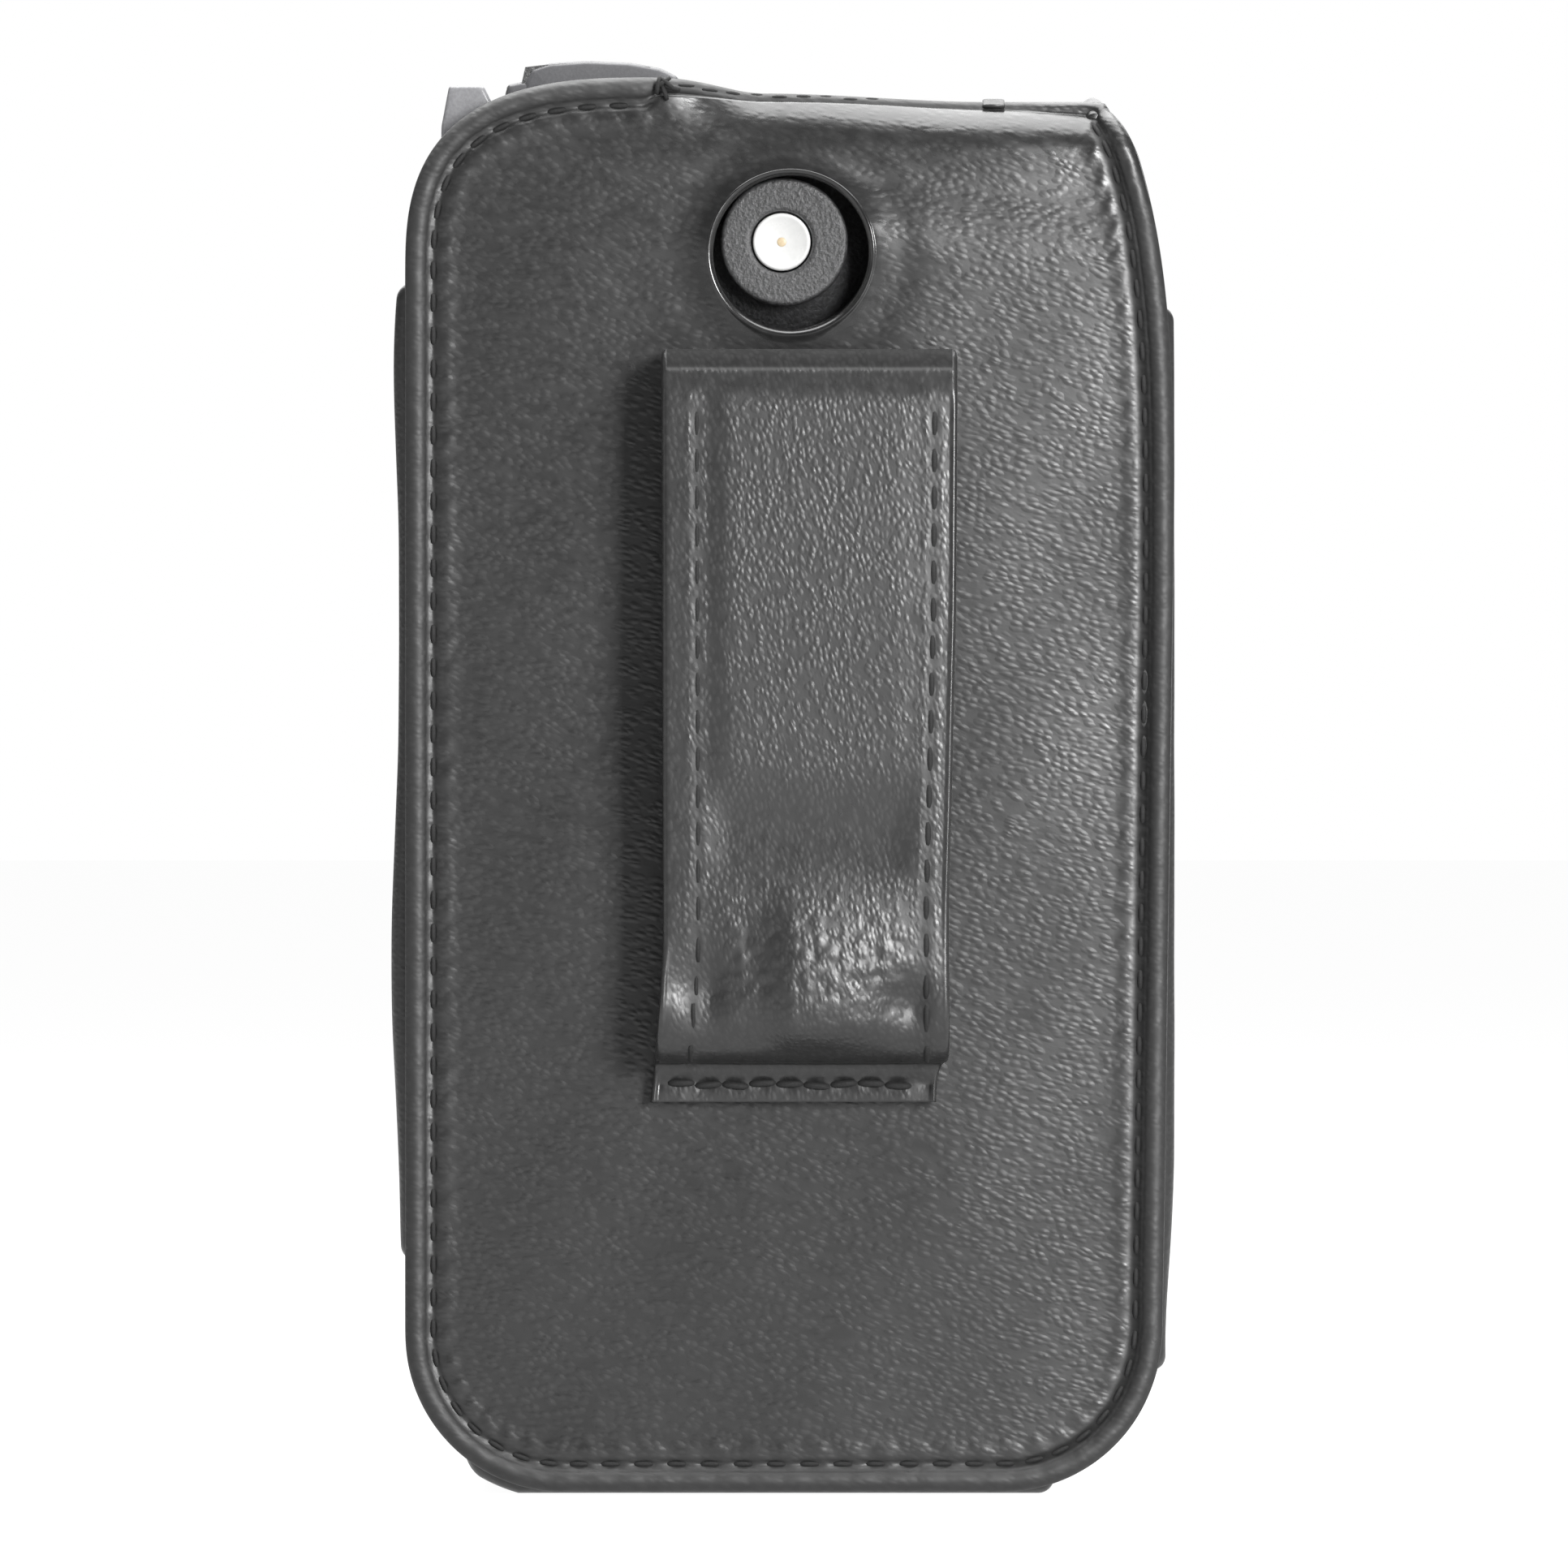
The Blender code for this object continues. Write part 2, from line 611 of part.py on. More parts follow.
def build_shell():
    """Moulded tray inside the leather, with its crown, corner post, button boss and floor pad."""
    side_top = PANEL_TOP - SHELL_SIDE_DROP
    back_top = PANEL_TOP - SHELL_BACK_DROP
    inside = SHELL_HALF - SHELL_WALL
    crown_left = -HALF_WIDTH + CROWN_LEFT
    crown_right = crown_left + CROWN_WIDTH
    crown_top = PANEL_TOP + CROWN_RISE
    outline = shell_outline(SHELL_HALF, SHELL_FLOOR, SHELL_CORNER, side_top)
    outline += [(inside, side_top), (inside - SHELL_WALL, back_top - SHELL_WALL)]
    outline += [(inside - 2 * SHELL_WALL, back_top), (crown_right + FIT_GAP, back_top)]
    outline += [(crown_right, crown_top - CROWN_RISE / 3)]
    for share in np.linspace(0.0, 1.0, ARC_STEPS + 1):
        bow = 1 - (2 * share - 1) ** 2
        outline.append((crown_right - CROWN_WIDTH * share, crown_top - CROWN_RISE / 4 * (1 - bow)))
    outline += [(crown_left - FIT_GAP, PANEL_TOP - FIT_GAP)]
    outline += [(crown_left - CROWN_LEDGE, PANEL_TOP - 2 * FIT_GAP)]
    outline += [(crown_left - CROWN_LEDGE, back_top), (-inside + SHELL_WALL, back_top - SHELL_WALL)]
    outline += [(-inside, side_top)]
    shell = as_mesh(extruded("inner_shell", [outline], SHELL_BACK, SHELL_FRONT))
    reach = 2 * PANEL_HEIGHT
    pocket_line = shell_outline(inside, SHELL_FLOOR + SHELL_WALL, SHELL_CORNER - SHELL_WALL, reach)
    pocket = as_mesh(extruded("pocket_form", [pocket_line], SHELL_INSIDE, SHELL_FRONT + CASE_DEPTH))
    boolean(shell, pocket, "DIFFERENCE")

    post_left = -HALF_WIDTH + POST_LEFT
    post_right = post_left + POST_WIDTH
    post_top = PANEL_TOP - POST_TOP_DROP
    post_low = post_top - POST_LENGTH
    post_line = [(post_left, post_low), (post_right, post_low), (post_right, post_top - 2 * POST_CHAMFER)]
    post_line += [(post_right - POST_CHAMFER / 2, post_top - POST_CHAMFER), (post_right - POST_CHAMFER, post_top)]
    post_line += [(post_left + POST_CHAMFER / 2, post_top)]
    post = as_mesh(extruded("post_form", [post_line], SHELL_BACK + FIT_GAP / 2, SHELL_BACK + POST_DEPTH))
    boolean(shell, post, "UNION")
    boss = cylinder("boss_form", BOSS_RADIUS, BOSS_FACE, SHELL_BACK + SHELL_WALL / 2, BOSS_X, BOSS_Z)
    boolean(shell, boss, "UNION")
    bore = cylinder("button_bore", BUTTON_RADIUS + SEAM_GAP, BOSS_FACE - LEATHER, BORE_FLOOR, BOSS_X, BOSS_Z)
    boolean(shell, bore, "DIFFERENCE")
    stem_hole = cylinder(
        "stem_hole", BUTTON_STEM + SEAM_GAP, BORE_FLOOR - LEATHER, SHELL_INSIDE + LEATHER, BOSS_X, BOSS_Z
    )
    boolean(shell, stem_hole, "DIFFERENCE")
    show(smooth(shell), MOULDED_PLASTIC)

    pad_half = inside - SHELL_CORNER
    pad_low = SHELL_FLOOR + SHELL_WALL + FIT_GAP
    pad_line = [(-pad_half, pad_low), (pad_half, pad_low)]
    pad_line += [(pad_half, pad_low + PAD_THICKNESS), (-pad_half, pad_low + PAD_THICKNESS)]
    pad = extruded("floor_pad", [pad_line], SHELL_INSIDE + FIT_GAP, SHELL_FRONT)
    show(pad, FELT)


def build_button():
    """White push button on its stem, with the return spring round the stem and the clip inside."""
    axis = joint_empty("button_slide_axis", (BOSS_X, BOSS_FACE, BOSS_Z))
    stem_end = SHELL_INSIDE + 2 * FIT_GAP + CLIP_THICKNESS
    length = stem_end - BOSS_FACE
    depth = HEAD_BACK - BOSS_FACE
    profile = [(0.0, -BUTTON_DISH)]
    for share in np.linspace(0.0, 1.0, ARC_STEPS // 2 + 1)[1:]:
        profile.append((0.85 * BUTTON_RADIUS * share, -BUTTON_DISH * (1 - share**2)))
    profile += [(BUTTON_RADIUS, -BUTTON_DISH / 3), (BUTTON_RADIUS, -depth)]
    profile += [(BUTTON_STEM, -depth), (BUTTON_STEM, -length), (0.0, -length)]
    button = turned("call_button", profile, (BOSS_X, BOSS_FACE, BOSS_Z))
    show(button, WHITE_PLASTIC, axis)

    clip_near = SHELL_INSIDE + FIT_GAP
    turns = np.linspace(0.0, 2 * math.pi, ROUND_SEGMENTS, endpoint=False)
    bore = BUTTON_STEM + SEAM_GAP
    outer = [(BOSS_X + CLIP_RADIUS * math.cos(a), BOSS_Z + CLIP_RADIUS * math.sin(a)) for a in turns]
    inner = [(BOSS_X + bore * math.cos(a), BOSS_Z + bore * math.sin(a)) for a in turns]
    clip = extruded("button_clip", [outer, inner], clip_near, clip_near + CLIP_THICKNESS)
    show(clip, STEEL, axis)

    spring_near = HEAD_BACK + SEAM_GAP + SPRING_WIRE / 2
    spring_far = BORE_FLOOR - SEAM_GAP - SPRING_WIRE / 2
    radius = (BUTTON_STEM + BUTTON_RADIUS) / 2 + SEAM_GAP / 2
    coil = []
    count = SPRING_TURNS * 12
    for i in range(count + 1):
        angle = 2 * math.pi * i / 12
        depth_now = spring_near + (spring_far - spring_near) * i / count
        coil.append((BOSS_X + radius * math.cos(angle), depth_now, BOSS_Z + radius * math.sin(angle)))
    show(tube("button_spring", coil, SPRING_WIRE, 0), STEEL)


def loop_profile():
    """Middle line of the belt loop's leather as (stand-off, height) points, from head to foot."""
    line = [(LOOP_SEAT, LOOP_BEND_Z - LOOP_HEAD)]
    middle = LOOP_SEAT + LOOP_BEND
    line += arc(middle, LOOP_BEND_Z, LOOP_BEND, LOOP_BEND, 180, 0)
    slope_top = LOOP_FOLD_Z + LOOP_SLOPE
    reach = LOOP_RUN - LOOP_SEAT - LOOP_FOLD
    base = LOOP_SEAT + LOOP_FOLD
    line += arc(base, slope_top, reach, LOOP_SLOPE, 0, -90)
    line += arc(base, LOOP_FOLD_Z - LOOP_FOLD, LOOP_FOLD, LOOP_FOLD, 90, 180)[1:]
    line.append((LOOP_SEAT, LOOP_BOTTOM))
    return line


def offset_line(line, distance):
    """Shift a flat line sideways by a distance, to its left as it runs."""
    points = np.array(line)
    steps = np.gradient(points, axis=0)
    steps /= np.linalg.norm(steps, axis=1)[:, None]
    return points + distance * np.column_stack([-steps[:, 1], steps[:, 0]])


def loop_half_width(z):
    """Half width of the belt loop at a height, drawn in a little above its fold."""
    share = (z - LOOP_FOLD_Z) / LOOP_SLOPE
    if share <= 0.0 or share >= 1.0:
        return LOOP_WIDTH / 2
    return LOOP_WIDTH / 2 - LOOP_WAIST * math.sin(math.pi * share) ** 2


def build_loop():
    """Belt loop: leather strap with a hairpin head, a folded foot, a lining and its threads."""
    line = loop_profile()
    rows = []
    for d, z in line:
        half = loop_half_width(z)
        rows.append([(LOOP_X - half, BACK_FACE - d, z), (LOOP_X + half, BACK_FACE - d, z)])
    show(smooth(ribbon("belt_loop", rows, LOOP_LEATHER)), GRAIN_LEATHER)

    inner = BELT_CLEARANCE + LOOP_LINING / 2
    half = LOOP_WIDTH / 2 - LOOP_WAIST - LOOP_LINING_SIDE
    rows = []
    for z in (LOOP_BEND_Z, LOOP_FOLD_Z + LOOP_SLOPE):
        rows.append([(LOOP_X - half, BACK_FACE - inner, z), (LOOP_X + half, BACK_FACE - inner, z)])
    show(ribbon("belt_loop_lining", rows, LOOP_LINING), SUEDE)

    lift = LOOP_LEATHER / 2 + SEAM_GAP + THREAD_DIAMETER / 2
    seam = [tuple(p) for p in offset_line(line, lift)]
    top = max(range(len(seam)), key=lambda i: seam[i][1])
    run = resampled([p for p in seam[top:] if p[1] > LOOP_FOLD_Z], STITCH_PITCH)
    for name, side in (("loop_left_thread", -1), ("loop_right_thread", 1)):
        path = []
        for d, z in run:
            x = LOOP_X + side * (loop_half_width(z) - LOOP_SEAM_MARGIN)
            path.append((x, BACK_FACE - d, z))
        show(tube(name, path, THREAD_DIAMETER, 0), BLACK_THREAD)

    seat = BACK_FACE - LOOP_SEAT - lift
    half = LOOP_WIDTH / 2 - LOOP_SEAM_MARGIN / 2
    for name, z in (("loop_foot_thread", LOOP_BOTTOM + LOOP_FOOT / 2), ("loop_head_thread", LOOP_BEND_Z - LOOP_HEAD / 2)):
        places = resampled([(LOOP_X - half, z), (LOOP_X + half, z)], FOOT_STITCH_PITCH / 2)
        path = [(x, seat - (STITCH_WAVE / 2 if i % 2 else 0.0), height) for i, (x, height) in enumerate(places)]
        show(tube(name, path, THREAD_DIAMETER, 0), BLACK_THREAD)


def strap_line(depth, start_angle):
    """Strap path as (y, z) points at a depth below its outer face: over the top and down the front."""
    line = []
    for angle in np.linspace(start_angle, math.pi / 2, ARC_STEPS // 2 + 1):
        _, y, z = lip_point(angle, depth, 0.0)
        line.append((y, z))
    bend = STRAP_BEND - depth
    centre_y = STRAP_FRONT - STRAP_BEND
    centre_z = LIP_START + LIP_RADIUS - STRAP_BEND
    line += arc(centre_y, centre_z, bend, bend, 90, 0)
    line.append((STRAP_FRONT - depth, LIP_START + LIP_RADIUS - STRAP_DROP))
    return line


def build_strap():
    """Closing strap that swings up and back from the lip, with its roll, thread, lining and magnet."""
    hinge_angle = LIP_ANGLE + FIT_GAP / 2 / LIP_RADIUS
    _, hinge_y, hinge_z = lip_point(hinge_angle, -FIT_GAP / 2, 0.0)
    axis = joint_empty("strap_hinge_axis", (0.0, hinge_y, hinge_z))
    start = LIP_ANGLE + FIT_GAP / LIP_RADIUS

    right = STRAP_RIGHT - PLATE_INSET
    rows = [[(STRAP_LEFT, y, z), (right, y, z)] for y, z in strap_line(LEATHER / 2, start)]
    show(smooth(ribbon("closing_strap", rows, LEATHER)), GRAIN_LEATHER, axis)

    roll_depth = -ROLL_SINK
    line = strap_line(roll_depth, start)
    roll = [(STRAP_RIGHT - ROLL_DIAMETER / 2, y, z) for y, z in line]
    show(tube("strap_roll", roll, ROLL_DIAMETER, 2), GRAIN_LEATHER, axis)
    flat = resampled(strap_line(STITCH_WAVE, start), STITCH_PITCH / 2)
    thread = [(STRAP_RIGHT - THREAD_INSET, y, z) for y, z in flat]
    show(tube("strap_thread", thread, THREAD_DIAMETER, 0), BLACK_THREAD, axis)

    lining_depth = LEATHER + FIT_GAP + STRAP_LINING / 2
    lining_start = math.pi / 2
    line = strap_line(lining_depth, lining_start)[ARC_STEPS // 2:]
    rows = [[(STRAP_LEFT, y, z), (STRAP_RIGHT - FIT_GAP, y, z)] for y, z in line]
    lining = ribbon("strap_lining", rows, STRAP_LINING)
    near = FRONT_FACE
    far = FRONT_FACE + FIT_GAP + STRAP_LINING + FIT_GAP / 2
    hole = cylinder("magnet_hole", MAGNET_RADIUS + FIT_GAP, near, far, MAGNET_X, MAGNET_Z)
    boolean(lining, hole, "DIFFERENCE")
    show(smooth(lining), SUEDE, axis)
    middle = FRONT_FACE + FIT_GAP + STRAP_LINING / 2
    magnet = cylinder(
        "strap_magnet",
        MAGNET_RADIUS,
        middle - MAGNET_THICKNESS / 2,
        middle + MAGNET_THICKNESS / 2,
        MAGNET_X,
        MAGNET_Z,
    )
    show(smooth(magnet), STEEL, axis)


build_back()
build_front()
side_gusset("left_gusset", -1, BASE_LIFT + LEFT_GUSSET_FOOT, PANEL_TOP - LEFT_GUSSET_DROP)
side_gusset("right_gusset", 1, BASE_LIFT + RIGHT_GUSSET_FOOT, PANEL_TOP - RIGHT_GUSSET_DROP)
bottom_gusset()
build_shell()
build_button()
build_loop()
build_strap()
bpy.context.view_layer.update()
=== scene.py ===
"""Looks of the belt-loop leather case: leather, stitching, plastic and a pale studio.

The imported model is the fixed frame. Every soft piece is worked out here as a numpy
surface in metres, in the same frame: +Z up, the back with the belt loop facing -Y.
"""
from __future__ import annotations

import logging
import math
from dataclasses import dataclass
from enum import Enum

import bpy
import numpy as np
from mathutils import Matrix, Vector

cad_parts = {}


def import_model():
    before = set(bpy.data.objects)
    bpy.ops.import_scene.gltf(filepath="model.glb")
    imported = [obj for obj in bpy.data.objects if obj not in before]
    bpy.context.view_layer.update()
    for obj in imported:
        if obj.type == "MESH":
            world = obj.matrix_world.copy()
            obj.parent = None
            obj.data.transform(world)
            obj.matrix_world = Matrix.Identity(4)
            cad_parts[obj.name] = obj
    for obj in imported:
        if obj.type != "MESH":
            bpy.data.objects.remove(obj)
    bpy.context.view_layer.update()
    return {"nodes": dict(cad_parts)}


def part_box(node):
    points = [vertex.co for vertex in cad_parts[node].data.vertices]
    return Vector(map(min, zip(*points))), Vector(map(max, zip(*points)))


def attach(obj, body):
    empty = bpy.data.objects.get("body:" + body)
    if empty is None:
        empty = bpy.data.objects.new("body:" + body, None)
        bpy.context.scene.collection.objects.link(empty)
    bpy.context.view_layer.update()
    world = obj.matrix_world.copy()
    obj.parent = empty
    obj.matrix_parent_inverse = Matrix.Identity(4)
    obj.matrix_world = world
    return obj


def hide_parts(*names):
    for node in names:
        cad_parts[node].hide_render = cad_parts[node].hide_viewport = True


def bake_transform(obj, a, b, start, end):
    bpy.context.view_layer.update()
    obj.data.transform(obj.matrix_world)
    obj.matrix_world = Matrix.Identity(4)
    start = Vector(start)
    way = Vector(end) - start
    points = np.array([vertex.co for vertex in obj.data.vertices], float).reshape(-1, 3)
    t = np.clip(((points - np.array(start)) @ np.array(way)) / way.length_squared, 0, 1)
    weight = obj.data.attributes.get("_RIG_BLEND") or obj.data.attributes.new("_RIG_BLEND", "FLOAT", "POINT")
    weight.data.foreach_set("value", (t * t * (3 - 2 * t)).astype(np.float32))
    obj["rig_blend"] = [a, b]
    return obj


MM = 0.001
POLISH = "polish"
WHITE = (1.0, 1.0, 1.0, 1.0)
BACKWARDS = (0.0, -1.0, 0.0)
OFF_BACK = np.array([-1.0, 1.0])
LOG = logging.getLogger("leather_case")

Array = np.ndarray
Rings = tuple[Array, Array]
Point = tuple[float, float, float]
Marks = tuple[tuple[float, float], ...]
Piece = bpy.types.Object
Material = bpy.types.Material
Tree = bpy.types.NodeTree
Node = bpy.types.Node
Socket = bpy.types.NodeSocket


class Body(Enum):
    """Bodies of the frame that pieces ride on."""

    CASE = "case"
    STRAP = "strap"
    BUTTON = "button"


class Plane(Enum):
    """Plane that a flat outline lies in: its two axes, then the axis of its thickness."""

    UPRIGHT = (0, 2, 1)
    LEVEL = (0, 1, 2)


def srgb(code: str) -> tuple[float, float, float, float]:
    """Turn an sRGB hex colour into linear red, green, blue and alpha.

    Args:
        code: six hex digits after a hash sign.

    Returns:
        Linear components, with alpha 1.
    """
    parts = [int(code[i : i + 2], 16) / 255 for i in (1, 3, 5)]
    linear = [c / 12.92 if c <= 0.04045 else ((c + 0.055) / 1.055) ** 2.4 for c in parts]
    return (linear[0], linear[1], linear[2], 1.0)


def fill_inputs(tree: Tree, node: Node, values: dict) -> None:
    """Set inputs of a node to values, or link them.

    Args:
        tree: node tree of the node.
        node: the node.
        values: input name or number to a value, or to an output socket to link from.
    """
    for key, value in values.items():
        if isinstance(value, Socket):
            tree.links.new(value, node.inputs[key])
        else:
            node.inputs[key].default_value = value


def add_node(tree: Tree, kind: str, values: dict | None = None, **settings: object) -> Node:
    """Add a shader node, set its properties, and fill or link its inputs.

    Args:
        tree: node tree that takes the node.
        kind: node type name, without its ShaderNode prefix.
        values: what fill_inputs takes.
        settings: node properties.

    Returns:
        The new node.
    """
    node = tree.nodes.new(f"ShaderNode{kind}")
    for name, value in settings.items():
        setattr(node, name, value)
    fill_inputs(tree, node, values or {})
    return node


def feed(tree: Tree, kind: str, values: dict | None = None, output: int | str = 0, **settings: object) -> Socket:
    """Add a node as add_node does, and hand back one of its outputs."""
    return add_node(tree, kind, values, **settings).outputs[output]


def mapped(tree: Tree, value: Socket, low: float, high: float, first: float, last: float) -> Socket:
    """Map a value between low and high onto first to last, clamped."""
    return feed(tree, "MapRange", {"Value": value, 1: low, 2: high, 3: first, 4: last})


def ramp(tree: Tree, factor: Socket, *stops: tuple[float, str]) -> Socket:
    """Add a colour ramp of two stops.

    Args:
        tree: node tree that takes the ramp.
        factor: output that drives it.
        stops: position and sRGB hex colour of each stop.

    Returns:
        Its colour output.
    """
    node = add_node(tree, "ValToRGB", {"Fac": factor})
    for element, (position, code) in zip(node.color_ramp.elements, stops):
        element.position = position
        element.color = srgb(code)
    return node.outputs["Color"]


def new_material(name: str) -> tuple[Material, Tree, Node]:
    """Make an empty node material with a Principled shader on its output.

    Args:
        name: name of the real material.

    Returns:
        The material, its node tree and the Principled node.
    """
    made = bpy.data.materials.new(name)
    made.use_nodes = True
    tree = made.node_tree
    tree.nodes.clear()
    shader = add_node(tree, "BsdfPrincipled")
    add_node(tree, "OutputMaterial", {"Surface": shader.outputs[0]})
    return made, tree, shader


def per_metre(width_mm: float) -> float:
    """Texture scale that makes a pattern repeat once in a width in millimetres."""
    return 1000.0 / width_mm


@dataclass(frozen=True)
class LeatherFinish:
    """Pigmented hide with a pressed grain under a semi-gloss coat.

    The coat gives the eye soft broad highlights, and the grain small long ridges that
    catch them. The piece's own polish attribute flattens the grain towards 1, where the
    leather is drawn tight or skived, and dulls the coat below 0, where it is turned over
    an edge. Far below 0 the coat is rubbed off, and little of its highlight is left.
    """

    name: str
    deep: str
    face: str
    grain_mm: float
    length: float
    turn_deg: float
    roughness: float
    relief_mm: float
    sway_mm: float = 3.1
    sway_shift: float = 0.9 * MM
    cloud_mm: float = 17.0
    flattest: float = 0.12
    gloss_gain: float = -0.12
    refraction: float = 1.52

    def build(self) -> Material:
        """Make the material: swayed cells and folds for its grain, and a slow cloud for its tone.

        Returns:
            The leather on Object coordinates.
        """
        made, tree, shader = new_material(self.name)
        place = feed(tree, "TexCoord", output="Object")
        polish = feed(tree, "Attribute", output="Fac", attribute_name=POLISH)
        turn = (0.0, math.radians(self.turn_deg), 0.0)
        along = {"Vector": place, "Rotation": turn, "Scale": (self.length, 1.0, 1.0)}
        drawn = feed(tree, "Mapping", along, vector_type="TEXTURE")
        sway = feed(tree, "TexNoise", {"Vector": drawn, "Scale": per_metre(self.sway_mm), "Detail": 2.0}, "Color")
        shift = feed(tree, "VectorMath", {0: sway, 1: (self.sway_shift,) * 3}, operation="MULTIPLY")
        bent = feed(tree, "VectorMath", {0: drawn, 1: shift})
        cell = {"Vector": bent, "Scale": per_metre(self.grain_mm), "Smoothness": 0.4, "Randomness": 0.82}
        domes = mapped(tree, feed(tree, "TexVoronoi", cell, "Distance", feature="SMOOTH_F1"), 0.08, 0.58, 0.7, 0.0)
        fold = {"Vector": bent, "Scale": per_metre(1.9 * self.grain_mm), "Detail": 3.0, "Roughness": 0.55}
        folds = feed(tree, "TexNoise", fold, "Fac")
        grain = feed(tree, "Math", {0: folds, 1: 0.5, 2: domes}, operation="MULTIPLY_ADD")
        keep = mapped(tree, polish, 0.0, 1.0, 1.0, self.flattest)
        height = feed(tree, "Math", {0: grain, 1: keep}, operation="MULTIPLY")
        bump = feed(tree, "Bump", {"Height": height, "Strength": 1.0, "Distance": self.relief_mm * MM})
        cloud = feed(tree, "TexNoise", {"Vector": place, "Scale": per_metre(self.cloud_mm), "Detail": 3.0}, "Fac")
        shade = feed(tree, "Math", {0: cloud, 1: 0.7, 2: grain}, operation="MULTIPLY_ADD")
        tone = ramp(tree, shade, (0.3, self.deep), (0.95, self.face))
        dull = mapped(tree, folds, 0.3, 0.7, self.roughness + 0.05, self.roughness - 0.05)
        gloss = feed(tree, "Math", {0: polish, 1: self.gloss_gain, 2: dull}, operation="MULTIPLY_ADD")
        coat = mapped(tree, polish, -4.0, -2.2, 0.12, 0.5)
        look = {"Base Color": tone, "Roughness": gloss, "Specular IOR Level": coat, "Normal": bump}
        fill_inputs(tree, shader, look | {"IOR": self.refraction})
        return made


@dataclass(frozen=True)
class GrainedFinish:
    """A plain solid with a fine grain: moulded plastic, thread, suede, felt, board or plated steel."""

    name: str
    low: str
    high: str
    grain_mm: float
    roughness: float
    relief_mm: float
    metallic: float = 0.0
    sheen: float = 0.0
    fibre: float = 1.0

    def build(self) -> Material:
        """Make the material: one noise drives its tone, gloss and relief.

        Returns:
            The material on Object coordinates.
        """
        made, tree, shader = new_material(self.name)
        place = feed(tree, "TexCoord", output="Object")
        drawn = feed(tree, "Mapping", {"Vector": place, "Scale": (1.0, 1.0, self.fibre)})
        noise = {"Vector": drawn, "Scale": per_metre(self.grain_mm), "Detail": 4.0, "Roughness": 0.6}
        grain = feed(tree, "TexNoise", noise, "Fac")
        tone = ramp(tree, grain, (0.3, self.low), (0.72, self.high))
        gloss = mapped(tree, grain, 0.2, 0.8, self.roughness + 0.07, self.roughness - 0.07)
        bump = feed(tree, "Bump", {"Height": grain, "Strength": 0.8, "Distance": self.relief_mm * MM})
        look = {"Base Color": tone, "Roughness": gloss, "Normal": bump}
        fill_inputs(tree, shader, look | {"Metallic": self.metallic, "Sheen Weight": self.sheen})
        return made


class Finish(Enum):
    """Finishes of the case, each named for its real material."""

    # Pigmented panel leather: fine grain in short wavy rows across the panel
    PANEL = LeatherFinish("pressed_grain_leather", "#131313", "#1d1d1d", 0.46, 2.0, 16.0, 0.335, 0.032)
    # The loop's strap is cut along the hide, so its grain stands in long upright ridges
    LOOP = LeatherFinish("strap_grain_leather", "#191919", "#242424", 0.42, 1.6, 74.0, 0.4, 0.045)
    # Gusset leather is skived thin, so its grain is nearly flat
    GUSSET = LeatherFinish("skived_leather", "#1a1a1a", "#242424", 0.45, 1.5, 20.0, 0.4, 0.02)
    # Moulded ABS with a spark-eroded texture: dull, with tiny glints
    PLASTIC = GrainedFinish("textured_abs", "#1a1a1a", "#353536", 0.32, 0.45, 0.13)
    # Satin ABS of the crown, finer than the port's disc
    SATIN = GrainedFinish("satin_abs", "#39393b", "#474749", 0.22, 0.42, 0.012)
    # The post's satin ABS takes a paler tone than the crown's
    PALE_SATIN = GrainedFinish("pale_satin_abs", "#5c5c5e", "#6f6f71", 0.25, 0.38, 0.012)
    # Acetal button, white with a soft gloss
    BUTTON = GrainedFinish("white_acetal", "#a9a9a8", "#b1b1b0", 0.6, 0.3, 0.004)
    # Tan pip moulded in the middle of the button
    PIP = GrainedFinish("tan_acetal", "#9d8c70", "#a8997f", 0.3, 0.4, 0.004)
    # Waxed black polyester thread, twisted: near black and nearly dull
    THREAD = GrainedFinish("waxed_thread", "#050505", "#101010", 0.16, 0.82, 0.03)
    # Brushed suede split: no shine, a soft sheen at grazing angles
    SUEDE = GrainedFinish("suede_split", "#161616", "#2a2a2a", 0.35, 0.92, 0.05, sheen=0.4)
    # Pressed wool felt: dull, with a soft nap
    FELT = GrainedFinish("wool_felt", "#1a1a1a", "#333333", 0.5, 0.96, 0.08, sheen=0.5, fibre=0.5)
    # Pressed fibreboard, brown with long fibres
    BOARD = GrainedFinish("fibreboard", "#3d3228", "#574737", 0.4, 0.85, 0.04, fibre=0.35)
    # Nickel plate over steel: bright, with a faint drawn haze
    STEEL = GrainedFinish("nickel_plate", "#a9a9a6", "#c4c4c0", 0.4, 0.28, 0.004, metallic=1.0)


_MADE: dict[Finish, Material] = {}


def dress(piece: Piece, finish: Finish) -> None:
    """Give a piece its finish, making the material the first time.

    Args:
        piece: the piece.
        finish: its real material.
    """
    if finish not in _MADE:
        _MADE[finish] = finish.value.build()
    piece.data.materials.clear()
    piece.data.materials.append(_MADE[finish])


def settle(piece: Piece, finish: Finish, body: Body, slot: str, *nodes: str) -> None:
    """Dress a piece, ride it on its body, hide the nodes it stands for, and report it.

    Args:
        piece: the piece; one that blends between two bodies rides on both already.
        finish: its real material.
        body: body that it rides on.
        slot: not used.
        nodes: nodes of the frame that it stands for.
    """
    dress(piece, finish)
    if nodes:
        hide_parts(*nodes)
    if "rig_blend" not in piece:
        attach(piece, body.value)
    LOG.info("%s: %d faces on %s", piece.name, len(piece.data.polygons), body.value)


def linked(name: str, data: bpy.types.ID) -> Piece:
    """Make an object of some data, at the origin of the scene.

    Args:
        name: name of the object.
        data: its mesh, light or camera.

    Returns:
        The new object.
    """
    item = bpy.data.objects.new(name, data)
    bpy.context.scene.collection.objects.link(item)
    return item


